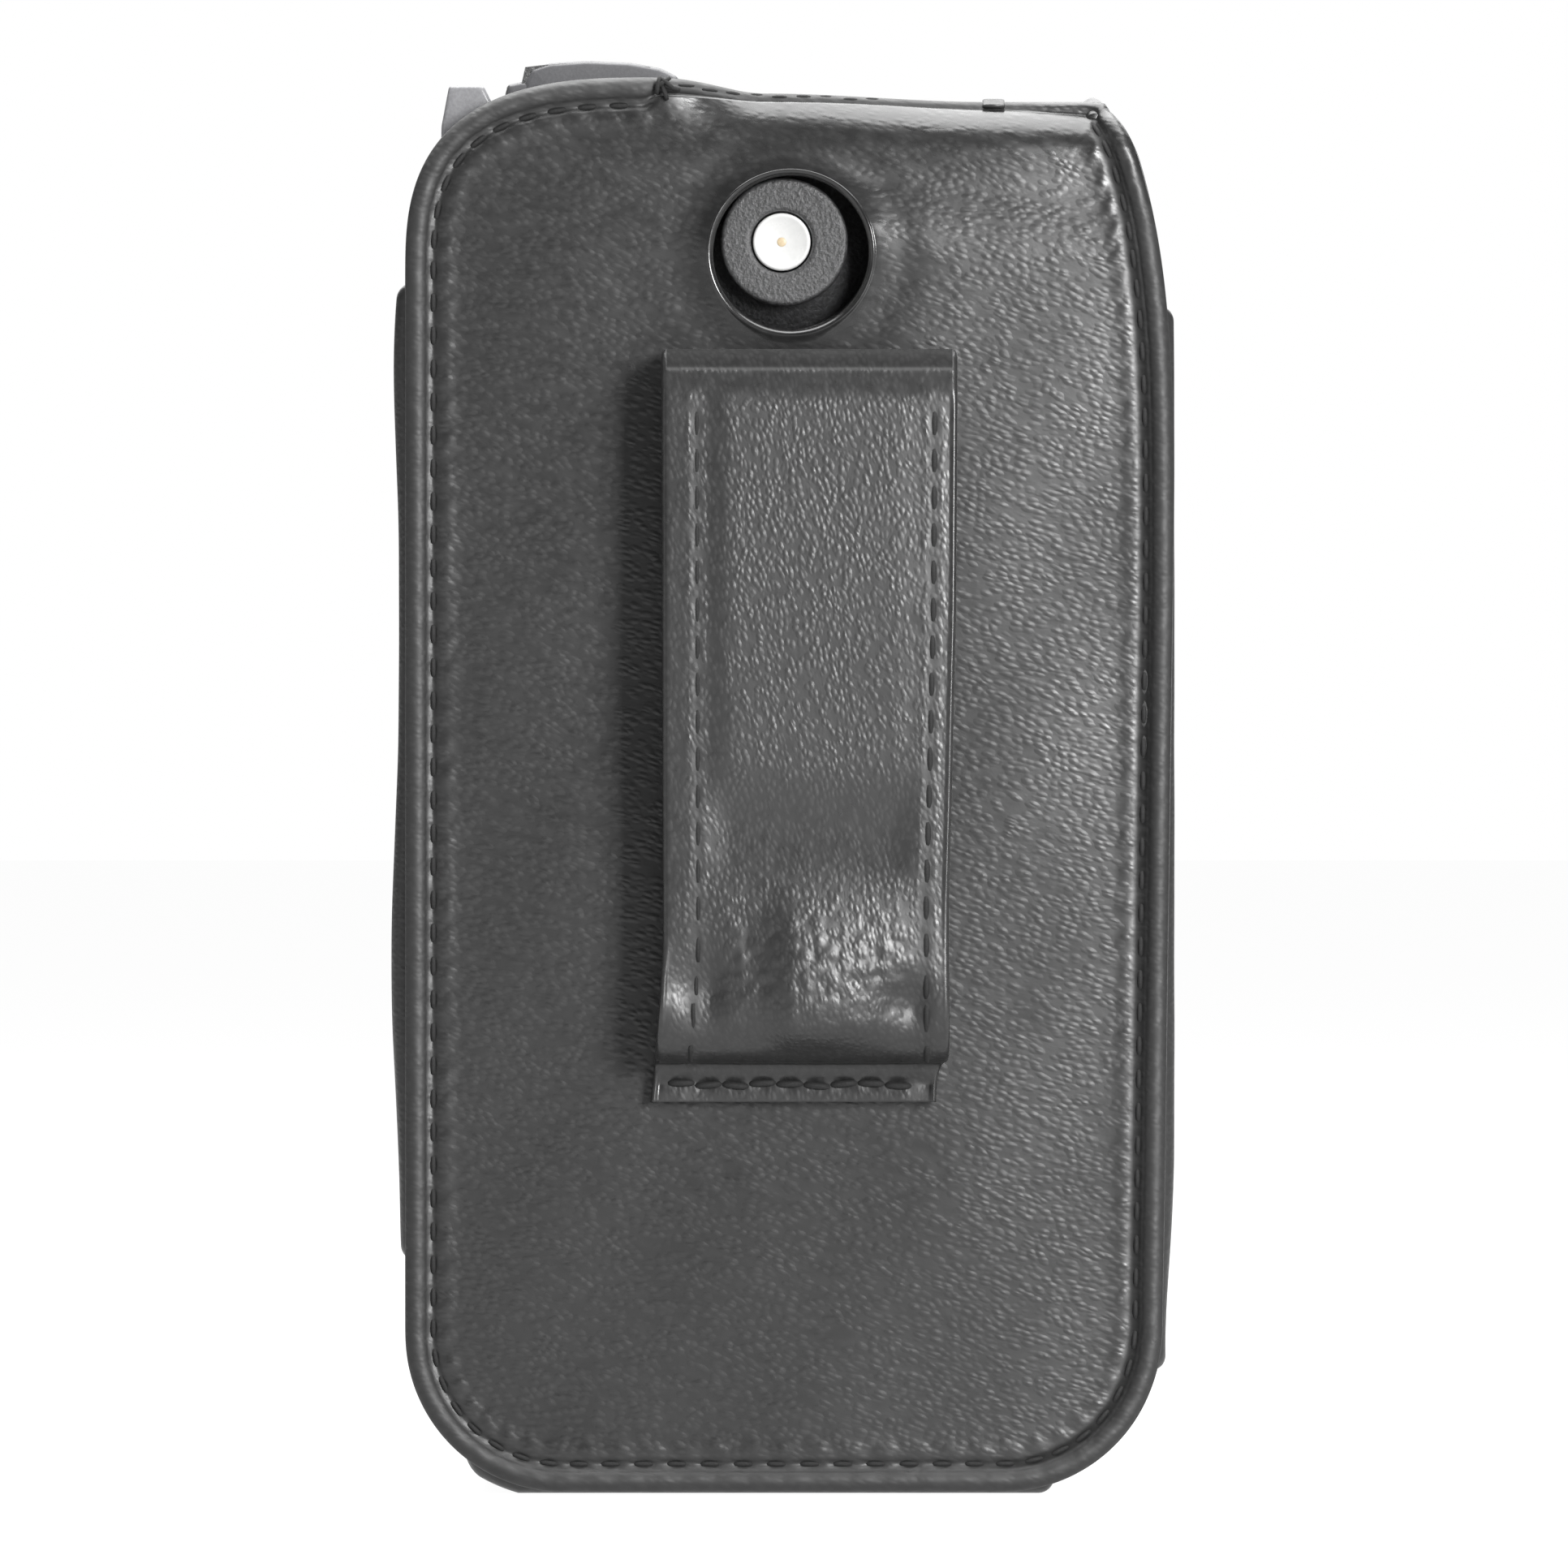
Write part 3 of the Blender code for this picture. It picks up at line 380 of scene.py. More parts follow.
def mesh_object(name: str, points: Array, faces: list[list[int]]) -> Piece:
    """Put points and faces into a smooth-shaded mesh object at the origin.

    The enclosed volume is the sum of the signed tetrahedra on the faces; where it
    is negative the faces are turned round, so that they point outwards.

    Args:
        name: piece name.
        points: vertex places in metres, on the last axis.
        faces: corner numbers of each face.

    Returns:
        The new object.
    """
    points = points.reshape(-1, 3)
    first, second, third, last = (points[[face[k] for face in faces]] for k in (0, 1, 2, -1))
    volume = np.einsum("ij,ij->", first, np.cross(second, third) + np.cross(third, last))
    if volume < 0:
        faces = [face[::-1] for face in faces]
    data = bpy.data.meshes.new(name)
    data.from_pydata(points.tolist(), [], faces)
    data.validate()
    data.shade_smooth()
    return linked(name, data)


def set_polish(piece: Piece, values: Array) -> None:
    """Store the polish at each vertex: 1 where the grain is drawn flat, below 0 where the skin is dull."""
    layer = piece.data.attributes.new(POLISH, "FLOAT", "POINT")
    layer.data.foreach_set("value", values.astype(np.float32).ravel())


def grid_faces(rows: int, columns: int, ring: bool = False) -> list[list[int]]:
    """Quads of a grid of points numbered row by row, whose last column joins the first.

    Args:
        rows: number of rows.
        columns: number of columns.
        ring: the last row joins the first too.

    Returns:
        Corner numbers of each quad.
    """
    number = np.arange(rows * columns).reshape(rows, columns)
    if ring:
        number = np.vstack([number, number[:1]])
    number = np.hstack([number, number[:, :1]])
    quads = np.stack([number[:-1, :-1], number[:-1, 1:], number[1:, 1:], number[1:, :-1]], axis=-1)
    return quads.reshape(-1, 4).tolist()


def tube_faces(stations: int, ring: int) -> list[list[int]]:
    """Faces of a tube of rings, with a cap on both its ends."""
    first = list(range(ring))
    return grid_faces(stations, ring) + [first[::-1], [(stations - 1) * ring + corner for corner in first]]


def swept(name: str, points: Array) -> Piece:
    """Make a closed solid from rings carried along a path: an array of stations, ring points and coordinates."""
    return mesh_object(name, points, tube_faces(*points.shape[:2]))


def domed(name: str, points: Array) -> Piece:
    """Make a closed solid from rings that shrink to a point at the first and the last ring.

    Args:
        name: piece name.
        points: array of rings, ring points and coordinates; the end rings are used as their means.

    Returns:
        The new object.
    """
    rows, ring = points.shape[:2]
    body = points[1:-1].reshape(-1, 3)
    number = np.arange(ring)
    following = np.roll(number, -1)
    base = (rows - 3) * ring
    faces = grid_faces(rows - 2, ring)
    faces += np.stack([np.full(ring, len(body)), following, number], axis=1).tolist()
    faces += np.stack([np.full(ring, len(body) + 1), base + number, base + following], axis=1).tolist()
    return mesh_object(name, np.vstack([body, points[[0, -1]].mean(axis=1)]), faces)


def joined(*parts: Array | float) -> Array:
    """Put coordinates together as points on a new last axis, each spread to their common shape."""
    return np.stack(np.broadcast_arrays(*parts), axis=-1)


def unit(rows: Array) -> Array:
    """Rows scaled to a length of one."""
    return rows / np.linalg.norm(rows, axis=1, keepdims=True)


def quarter_turn(count: int) -> Array:
    """Angles from 0 to a quarter turn."""
    return np.linspace(0.0, math.pi / 2, count)


def full_turn(count: int) -> Array:
    """Angles once round, without the last, which is the first again."""
    return np.linspace(0.0, math.tau, count, endpoint=False)


def squarish(wave: Array, power: float) -> Array:
    """A sine or cosine raised to a power with its sign kept, which squares off a circle."""
    return np.sign(wave) * np.abs(wave) ** power


def lengths(path: Array) -> Array:
    """Length along a path at each of its points."""
    return np.concatenate([[0.0], np.cumsum(np.linalg.norm(np.diff(path, axis=0), axis=1))])


def read_at(at: Array, along: Array, line: Array, period: float | None = None) -> Array:
    """Read a line of points at lengths along it, round and round where it has a period."""
    return np.stack([np.interp(at, along, column, period=period) for column in line.T], axis=1)


def even_steps(path: Array, count: int, closed: bool) -> tuple[Array, Array]:
    """Spread points evenly along a path by its length.

    Args:
        path: corner points.
        count: number of points wanted.
        closed: the path joins its start.

    Returns:
        The points, and the length along the path at each.
    """
    whole = np.vstack([path, path[:1]]) if closed else path
    along = lengths(whole)
    places = np.linspace(0.0, along[-1], count, endpoint=not closed)
    return read_at(places, along, whole), places


def hann(width: int) -> Array:
    """Weights of a smooth mean over some neighbours on both sides."""
    weights = np.hanning(2 * width + 3)[1:-1]
    return weights / weights.sum()


def softened(path: Array, width: int) -> Array:
    """Smooth a closed path by a weighted mean of each point with its neighbours on both sides."""
    return sum(w * np.roll(path, s, axis=0) for w, s in zip(hann(width), range(-width, width + 1)))


def eased(path: Array, width: int) -> Array:
    """Round the corners of an open, evenly stepped path by a weighted mean over its neighbours.

    Args:
        path: points of the path, one row each.
        width: neighbours taken on each side.

    Returns:
        The rounded path, with its two ends held.
    """
    head = 2 * path[:1] - path[width:0:-1]
    tail = 2 * path[-1:] - path[-2 : -width - 2 : -1]
    whole = np.vstack([head, path, tail])
    return np.stack([np.convolve(column, hann(width), "valid") for column in whole.T], axis=1)


def left_of(ahead: Array) -> Array:
    """Directions square to some flat directions, on their left."""
    return np.stack([-ahead[:, 1], ahead[:, 0]], axis=1)


def turned_path(path: Array) -> tuple[Array, Array]:
    """Unit directions along an open flat path and square to it, on its left side."""
    ahead = unit(np.gradient(path, axis=0))
    return ahead, left_of(ahead)


def inward_normals(path: Array) -> Array:
    """Unit normals of a closed flat path that runs with its inside on its left."""
    return left_of(unit(np.roll(path, -1, axis=0) - np.roll(path, 1, axis=0)))


def mitred(path: Array, reach: float) -> Array:
    """Inward offsets of a closed flat path that keep one distance from both sides of a sharp corner.

    At a corner the offset is the sum of the two sides' normals over one plus their dot
    product, and it fades back to the plain normal along each side.

    Args:
        path: even points of the path, inside on the left.
        reach: longest run of a corner's fade.

    Returns:
        Offsets for a distance of one.
    """
    span, sharpest, fewest = 4, 0.75, 5
    step = np.linalg.norm(np.diff(path, axis=0), axis=1).mean()
    normals = inward_normals(path)
    before, after = np.roll(normals, span, axis=0), np.roll(normals, -span, axis=0)
    bend = (before * after).sum(axis=1)
    corners = np.flatnonzero((bend < sharpest) & (bend <= np.roll(bend, 1)) & (bend < np.roll(bend, -1)))
    gaps = np.diff(np.append(corners, corners[:1] + len(path)))
    offsets = normals.copy()
    for number, corner in enumerate(corners):
        mitre = (before[corner] + after[corner]) / max(1 + bend[corner], 0.5)
        for way, side, gap in ((-1, before[corner], gaps[number - 1]), (1, after[corner], gaps[number])):
            count = max(min(int(reach / step), int(gap) // 2), fewest)
            fade = 1 - np.arange(count)[:, None] / count
            offsets[(corner + way * np.arange(count)) % len(path)] = side + fade * (mitre - side)
    return offsets


def smooth_step(value: Array | float, low: float, high: float) -> Array:
    """Ease from 0 at low to 1 at high: 3t squared less 2t cubed, with t clipped to 0 and 1."""
    share = np.clip((np.asarray(value, float) - low) / (high - low), 0.0, 1.0)
    return share * share * (3 - 2 * share)


def bell(value: Array, centre: float, width: float) -> Array:
    """Bell curve of height 1 about a centre: e to the minus square of the distance in widths."""
    return np.exp(-(((np.asarray(value, float) - centre) / width) ** 2))


def plane_wave(x: Array, z: Array, length: float, turn: float, phase: float) -> Array:
    """Sine wave of some length over the face, that runs at a turn from the level."""
    return np.sin(math.tau * (x * math.cos(turn) + z * math.sin(turn)) / length + phase)


def ripple(x: Array, z: Array) -> Array:
    """Slow unevenness of hand-sized leather: four crossed sine waves of fixed phase, about 1 high."""
    waves = ((0.019, 0.4, 0.3), (0.027, 1.7, 1.9), (0.013, 2.6, 0.8), (0.035, -0.6, 2.7))
    return sum(plane_wave(x, z, *wave) for wave in waves) / len(waves)


def foot_arcs(half_width: float, corner: float, base: float, count: int) -> Array:
    """Two round bottom corners, left then right, as quarter circles.

    Args:
        half_width: half the width between the sides.
        corner: radius of the corners.
        base: height of the bottom.
        count: points on each corner.

    Returns:
        Points across and up.
    """
    turn = quarter_turn(count)
    centre, height = half_width - corner, base + corner
    left = joined(-centre - corner * np.cos(turn), height - corner * np.sin(turn))
    right = joined(centre + corner * np.sin(turn), height - corner * np.cos(turn))
    return np.vstack([left, right])


def carried(path: Array, side: Array, x: Array, lift: Array) -> Array:
    """Carry a section along a flat path, each point lifted off the path along its side.

    Args:
        path: stations as (depth, height).
        side: unit directions square to the path at each station.
        x: places across of the section's points.
        lift: distance of each point from the path.

    Returns:
        Points by station and place in the section.
    """
    depth, height = (path[:, k, None] + side[:, k, None] * lift for k in (0, 1))
    return joined(x, depth, height)


def slab(name: str, corners: Array, near: float, far: float, edge: float, plane: Plane = Plane.UPRIGHT) -> Piece:
    """Make a flat solid with rounded edges from its outline.

    Rings run from the middle of one face out to the outline, round the edge as two
    quarter circles, and back to the middle of the other face.

    Args:
        name: piece name.
        corners: outline in the plane's two axes, inside on the left.
        near: lower level of the thickness.
        far: upper level of the thickness.
        edge: rounding at the edge.
        plane: plane of the outline.

    Returns:
        The new object.
    """
    inner = (0.0, 0.35, 0.7)
    line = softened(even_steps(corners, 320, True)[0], 2)
    normals = mitred(line, 4 * MM)
    middle = line.mean(axis=0)
    turn = quarter_turn(6)
    insets = np.concatenate([edge * (1 - np.sin(turn)), edge * (1 - np.cos(turn))[1:]])
    levels = np.concatenate([near + edge * (1 - np.cos(turn)), far - edge + edge * np.sin(turn)[1:]])
    rim = [line + normals * inset for inset in insets]
    start = [middle + (rim[0] - middle) * share for share in inner]
    end = [middle + (rim[-1] - middle) * share for share in inner[::-1]]
    flat = np.stack(start + rim + end)
    level = np.concatenate([[near] * len(inner), levels, [far] * len(inner)])
    points = np.empty(flat.shape[:2] + (3,))
    points[..., plane.value[:2]] = flat
    points[..., plane.value[2]] = level[:, None]
    return domed(name, points)


def stitch_mesh(name: str, places: Array, ahead: Array, out: Array, length: float, radius: float) -> Piece:
    """Make a row of stitches: each a short arched strand whose ends dive into the leather.

    A strand runs along its length from -1 to 1; it sinks as the fourth power of that,
    and its thickness falls a little towards the ends. All strands are one array.

    Args:
        name: piece name.
        places: middle of each stitch.
        ahead: unit direction of each stitch.
        out: unit direction away from the leather at each stitch.
        length: visible length of a stitch.
        radius: radius of the thread.

    Returns:
        The row as one mesh.
    """
    rings, sides, dive, thinning = 7, 7, 1.24, 0.25
    share = np.linspace(-1.0, 1.0, rings)
    turn = full_turn(sides)
    side = np.cross(ahead, out)
    sink = -dive * radius * share**4
    thick = radius * (1 - thinning * share**2)
    strand = places[:, None, :] + ahead[:, None, :] * (share * length / 2)[None, :, None]
    strand = strand + out[:, None, :] * sink[None, :, None]
    across = np.cos(turn)[None, None, :, None] * side[:, None, None, :]
    upward = np.sin(turn)[None, None, :, None] * out[:, None, None, :]
    points = strand[:, :, None, :] + thick[None, :, None, None] * (across + upward)
    one = tube_faces(rings, sides)
    faces = [[corner + start for corner in face] for start in range(0, len(places) * rings * sides, rings * sides)
             for face in one]
    return mesh_object(name, points, faces)


def sew(name: str, places: Array, ahead: Array, out: Array, length: float, radius: float, *nodes: str) -> None:
    """Make a row of stitches as stitch_mesh does, and settle it on the case for its thread's nodes."""
    row = stitch_mesh(name, places, ahead, out, length, radius)
    settle(row, Finish.THREAD, Body.CASE, "black_thread", *nodes)


@dataclass(frozen=True)
class CaseSizes:
    """Sizes that every piece of leather takes from the case, in metres."""

    half_width: float = 31.3 * MM
    base: float = 0.3 * MM
    top: float = 115.4 * MM
    back: float = -12.0 * MM
    front: float = 12.0 * MM
    front_top: float = 101.0 * MM
    leather: float = 1.4 * MM
    gap: float = 0.3 * MM
    corner: float = 12.8 * MM
    lean: float = 1.05 * MM
    left_run: float = 20.0 * MM
    left_drop: float = 16.0 * MM
    left_power: float = 2.8
    taper_run: float = 5.4 * MM
    taper_drop: float = 42.0 * MM
    taper_power: float = 3.8
    lip_length: float = 6.4 * MM
    lip_radius: float = 5.0 * MM
    lip_blend: float = 9.01 * MM
    lip_full: float = 16.0 * MM
    lip_share: float = 0.72
    roll: float = 0.95 * MM
    seam: float = 2.33 * MM
    stitch: float = 2.7 * MM
    port_x: float = 0.1 * MM
    port_z: float = 101.1 * MM
    port_radius: float = 6.3 * MM
    shell_back: float = -8.8 * MM
    shell_inside: float = -7.3 * MM
    strap_width: float = 8.1 * MM

    @property
    def knot_x(self) -> float:
        """Place across where the rolled edge ends and the lip starts."""
        return -self.half_width + self.left_run

    @property
    def lip_start(self) -> float:
        """Height where the back starts to bend over the lip."""
        return self.top - self.lip_length

    @property
    def strap_right(self) -> float:
        """Right edge of the closing strap."""
        return self.half_width - self.taper_run

    @property
    def strap_left(self) -> float:
        """Left edge of the closing strap."""
        return self.strap_right - self.strap_width

    def beat(self, along: Array) -> Array:
        """Cosine of the length along a seam, 1 at the middle of each stitch."""
        return np.cos(math.tau * along / self.stitch)

    def from_port(self, x: Array, z: Array) -> Array:
        """Distance from the middle of the port."""
        return np.hypot(x - self.port_x, z - self.port_z)

    def foot(self) -> Array:
        """The two round bottom corners of the leather."""
        return foot_arcs(self.half_width, self.corner, self.base, 30)

    def back_outline(self) -> Array:
        """Outer outline of the back laid flat, from the knot round the left, bottom and right.

        The top left corner is a superellipse, the bottom corners are arcs, and the right
        side leans in as a power of the height. The lip's edge closes it along the top.

        Returns:
            Corner points across and up.
        """
        turn, power = quarter_turn(40), 2 / self.left_power
        left = joined(
            self.knot_x - self.left_run * np.sin(turn) ** power,
            self.top - self.left_drop + self.left_drop * np.cos(turn) ** power,
        )
        share = np.linspace(0.0, 1.0, 40)
        right = joined(
            self.half_width - self.taper_run * share**self.taper_power,
            self.top - self.taper_drop * (1 - share),
        )
        line = np.vstack([left, self.foot(), right])
        line[:, 0] -= self.lean_in(line[:, 1]) * smooth_step(line[:, 0], 0.0, 20 * MM)
        return line

    def lean_in(self, z: Array) -> Array:
        """How far the sewn right side draws in towards the foot: a smooth step of the height."""
        return self.lean * (1 - smooth_step(z, 8 * MM, 28 * MM))

    def front_outline(self) -> Array:
        """Outer outline of the front: square at the top, round at the bottom."""
        return np.vstack([[-self.half_width, self.front_top], self.foot(), [self.half_width, self.front_top]])

    def over_lip(self, points: Array) -> Array:
        """Bend flat back points over the lip.

        Past the lip's start, a point's run along the leather becomes an angle on a circle
        whose radius is the lip's radius over the share of curl at that place across. The
        curl grows from the knot in two smooth steps, a quick one and then a slow one.

        Args:
            points: places of the flat back, last axis x, y and z.

        Returns:
            The bent places.
        """
        x, y, z = np.moveaxis(points, -1, 0)
        start = self.knot_x + self.gap
        quick = self.lip_share * smooth_step(x, start, start + self.lip_blend)
        slow = (1 - self.lip_share) * smooth_step(x, start + self.lip_blend, self.lip_full)
        radius = self.lip_radius / np.maximum(quick + slow, 1e-4)
        angle = np.maximum(z - self.lip_start, 0.0) / radius
        inside = radius - (y - self.back)
        bent_y = self.back + radius - inside * np.cos(angle)
        bent_z = self.lip_start + inside * np.sin(angle)
        past = z > self.lip_start
        return joined(x, np.where(past, bent_y, y), np.where(past, bent_z, z))


SIZES = CaseSizes()


@dataclass(frozen=True)
class SeamShape:
    """Form of a sewn, turned edge, in metres."""

    reach: float = 4.6 * MM
    step: float = 0.4 * MM
    ditch: float = 0.24 * MM
    width: float = 0.32 * MM
    pull: float = 0.08 * MM
    puff: float = 0.07 * MM
    puff_away: float = 1.05 * MM
    puff_width: float = 0.75 * MM
    slant: float = 0.5

    def height(self, inset: Array, along: Array, sewn: Array, roll: Array) -> Array:
        """Height of the panel beside its rolled edge.

        The thread draws the leather into a ditch that is deep under each stitch and
        shallow between two, and a pillow rises beside it. A cosine of the length along
        the seam, slanted with the distance from the edge, gives the pucker.

        Args:
            inset: distance in from the outer edge.
            along: length along the outline.
            sewn: share of the seam's strength at that place.
            roll: radius of the rolled edge at that place.

        Returns:
            Height above the panel's face.
        """
        away = inset - (2 * roll + self.step)
        beat = SIZES.beat(along + self.slant * away)
        ditch = (self.ditch + self.pull * beat) * bell(away, 0.0, self.width)
        pillow = self.puff * (1 - 0.4 * beat) * bell(away, self.puff_away, self.puff_width)
        return sewn * (pillow - ditch)


@dataclass
class SewnPanel:
    """A leather panel with a rolled, sewn edge, laid out in rings from its middle to its edge.

    Each ring follows the outline at some distance in. Near the edge the distance is
    square to the outline; further in, rings shrink in proportion towards the middle,
    which is a pole or the rim of a round port.
    """

    name: str
    outline: Array
    face: float
    outward: float
    middle: tuple[float, float]
    hole: float = 0.0
    columns: int = 880
    seam: SeamShape = SeamShape()
    bead: float = 0.5 * MM
    pole: float = 0.2 * MM
    uneven: float = 0.1 * MM
    collar: float = 0.1 * MM
    side_fall: float = 0.3 * MM
    roll_dull: float = 2.1
    seam_dull: float = 1.2
    right_dull: float = 2.8

    def lay_out(self) -> None:
        """Spread the outline evenly and find its inward normals, seam strength and roll."""
        line, self.along = even_steps(self.outline, self.columns, True)
        self.line = softened(line, 3)
        turned = softened(mitred(self.line, 14 * MM), 22)
        self.normals = unit(turned) * np.maximum(np.linalg.norm(turned, axis=1, keepdims=True), 1.0)
        self.sewn = self.sewn_share()
        self.roll = SIZES.leather / 2 + (SIZES.roll - SIZES.leather / 2) * self.sewn
        self.away = unit(self.line - np.array(self.middle))

    def along_top(self) -> Array:
        """How far each point of the outline is on its top edge: a smooth step of the height."""
        top = self.outline[:, 1].max()
        return smooth_step(self.line[:, 1], top - 0.9 * MM, top - 0.25 * MM)

    def sewn_share(self) -> Array:
        """Share of the full roll at each point: full at the sides and the bottom, none along the top."""
        return 1 - self.along_top()

    def relief(self, x: Array, z: Array) -> Array:
        """Form of the panel's own face: slow unevenness, and a fall of the fourth power towards both sides."""
        return self.uneven * ripple(x, z) - self.side_fall * (np.abs(x) / SIZES.half_width) ** 4

    def smoothness(self, x: Array, z: Array) -> Array:
        """How far the grain is drawn flat on the face: nowhere."""
        return np.zeros_like(x + z)

    def bent(self, points: Array) -> Array:
        """Bend points over the lip where the panel is the back."""
        return SIZES.over_lip(points) if self.outward < 0 else points

    def placed(self, flat: Array, height: Array | float) -> Array:
        """Lift flat points off the panel's face by their heights along its outward side."""
        return joined(flat[..., 0], self.face + self.outward * height, flat[..., 1])

    def rim_rings(self) -> Rings:
        """Rings up the port's wall and over its raised rim, with their polish.

        The wall is a straight line and the rim a quarter circle. Above the wall the
        rings follow the face's own relief beside the port.

        Returns:
            Ring points, and their polish.
        """
        lift, turn = 0.2 * MM, quarter_turn(7)
        radii = np.concatenate([[self.hole, self.hole], self.hole + self.bead * (1 - np.cos(turn))])
        heights = np.concatenate([[-SIZES.leather, -0.5 * MM], lift - self.bead + self.bead * np.sin(turn)])
        flat = np.array(self.middle) + self.away[None] * radii[:, None, None]
        share = np.clip(np.arange(len(radii)) / 2.0, 0.0, 1.0)[:, None]
        lean = self.relief(*flat[-1].T) - self.collar
        return self.placed(flat, heights[:, None] + share * lean), np.ones(flat.shape[:2])

    def face_rings(self) -> Rings:
        """Rings over the face, from the rim or the middle out to the seam, closer together at the middle.

        Returns:
            Ring points, and their polish.
        """
        start = np.array(self.middle) + self.away * max(self.hole + self.bead, self.pole)
        end = self.line + self.normals * self.seam.reach
        share = np.linspace(0.0, 1.0, 56)[1:-1, None, None] ** 1.5
        flat = start + (end - start) * share
        x, z = flat[..., 0], flat[..., 1]
        return self.placed(flat, self.relief(x, z)), self.smoothness(x, z)

    def ditch_rings(self) -> Rings:
        """Rings through the seam's ditch, whose coat is rubbed dull, most of all down the right side.

        Returns:
            Ring points, and their polish.
        """
        share = np.linspace(0.0, 1.0, 20)[:, None]
        inset = self.seam.reach + (2 * self.roll + 0.1 * MM - self.seam.reach) * share
        flat = self.line + self.normals * inset[..., None]
        x, z = flat[..., 0], flat[..., 1]
        height = self.relief(x, z) + self.seam.height(inset, self.along, self.sewn, self.roll)
        rubbed = self.seam_dull + self.right_dull * smooth_step(x, 8 * MM, 22 * MM)
        dull = rubbed * self.sewn * smooth_step(-inset, -3.3 * MM, -2.3 * MM)
        return self.placed(flat, height), self.smoothness(x, z) - dull

    def roll_rings(self) -> Rings:
        """Rings round the rolled edge: a circle that swells between stitches, dull except at the top right.

        Returns:
            Ring points, and their polish.
        """
        turn = np.radians(np.linspace(24.0, 268.0, 18))[:, None]
        beat = SIZES.beat(self.along - 0.12 * SIZES.stitch) * self.sewn
        upper = np.clip(np.sin(turn), 0.0, 1.0) * smooth_step(-turn, -2.3, -1.2)
        swell = self.roll * (1 - 0.04 * beat * upper)
        sunk = 0.8 * self.relief(*self.line.T) * self.sewn * smooth_step(np.sin(turn), -0.7, 0.5)
        flat = self.line + self.normals * (self.roll + swell * np.cos(turn))[..., None]
        height = self.roll - SIZES.leather + swell * np.sin(turn) + sunk
        shown = smooth_step(flat[..., 0], 14 * MM, 23 * MM) * smooth_step(flat[..., 1], 102 * MM, 111 * MM)
        return self.placed(flat, height), 1.9 * shown - self.roll_dull

    def back_rings(self) -> Rings:
        """Plain rings over the inside of the panel, back to the middle.

        Returns:
            Ring points, and their polish.
        """
        start = self.line + self.normals * self.seam.reach
        end = np.array(self.middle) + self.away * max(self.hole, self.pole)
        flat = start + (end - start) * np.array([0.0, 0.3, 0.6, 0.85])[:, None, None]
        return self.placed(flat, -SIZES.leather), np.ones(flat.shape[:2])

    def build(self) -> Piece:
        """Make the panel as one closed surface, bent over the lip where it is the back.

        Returns:
            The panel, with its polish.
        """
        self.lay_out()
        rings = [self.face_rings(), self.ditch_rings(), self.roll_rings(), self.back_rings()]
        if self.hole:
            rings.insert(0, self.rim_rings())
        points, polish = (np.vstack(part) for part in zip(*rings))
        if self.hole:
            piece = mesh_object(self.name, self.bent(points), grid_faces(len(points), self.columns, True))
        else:
            pole = np.tile(self.middle, (1, self.columns, 1))
            first, last = self.placed(pole, 0.0), self.placed(pole, -SIZES.leather)
            piece = domed(self.name, np.vstack([first, self.bent(points), last]))
            polish = np.append(polish.ravel(), [0.0, 1.0])
        set_polish(piece, polish)
        return piece


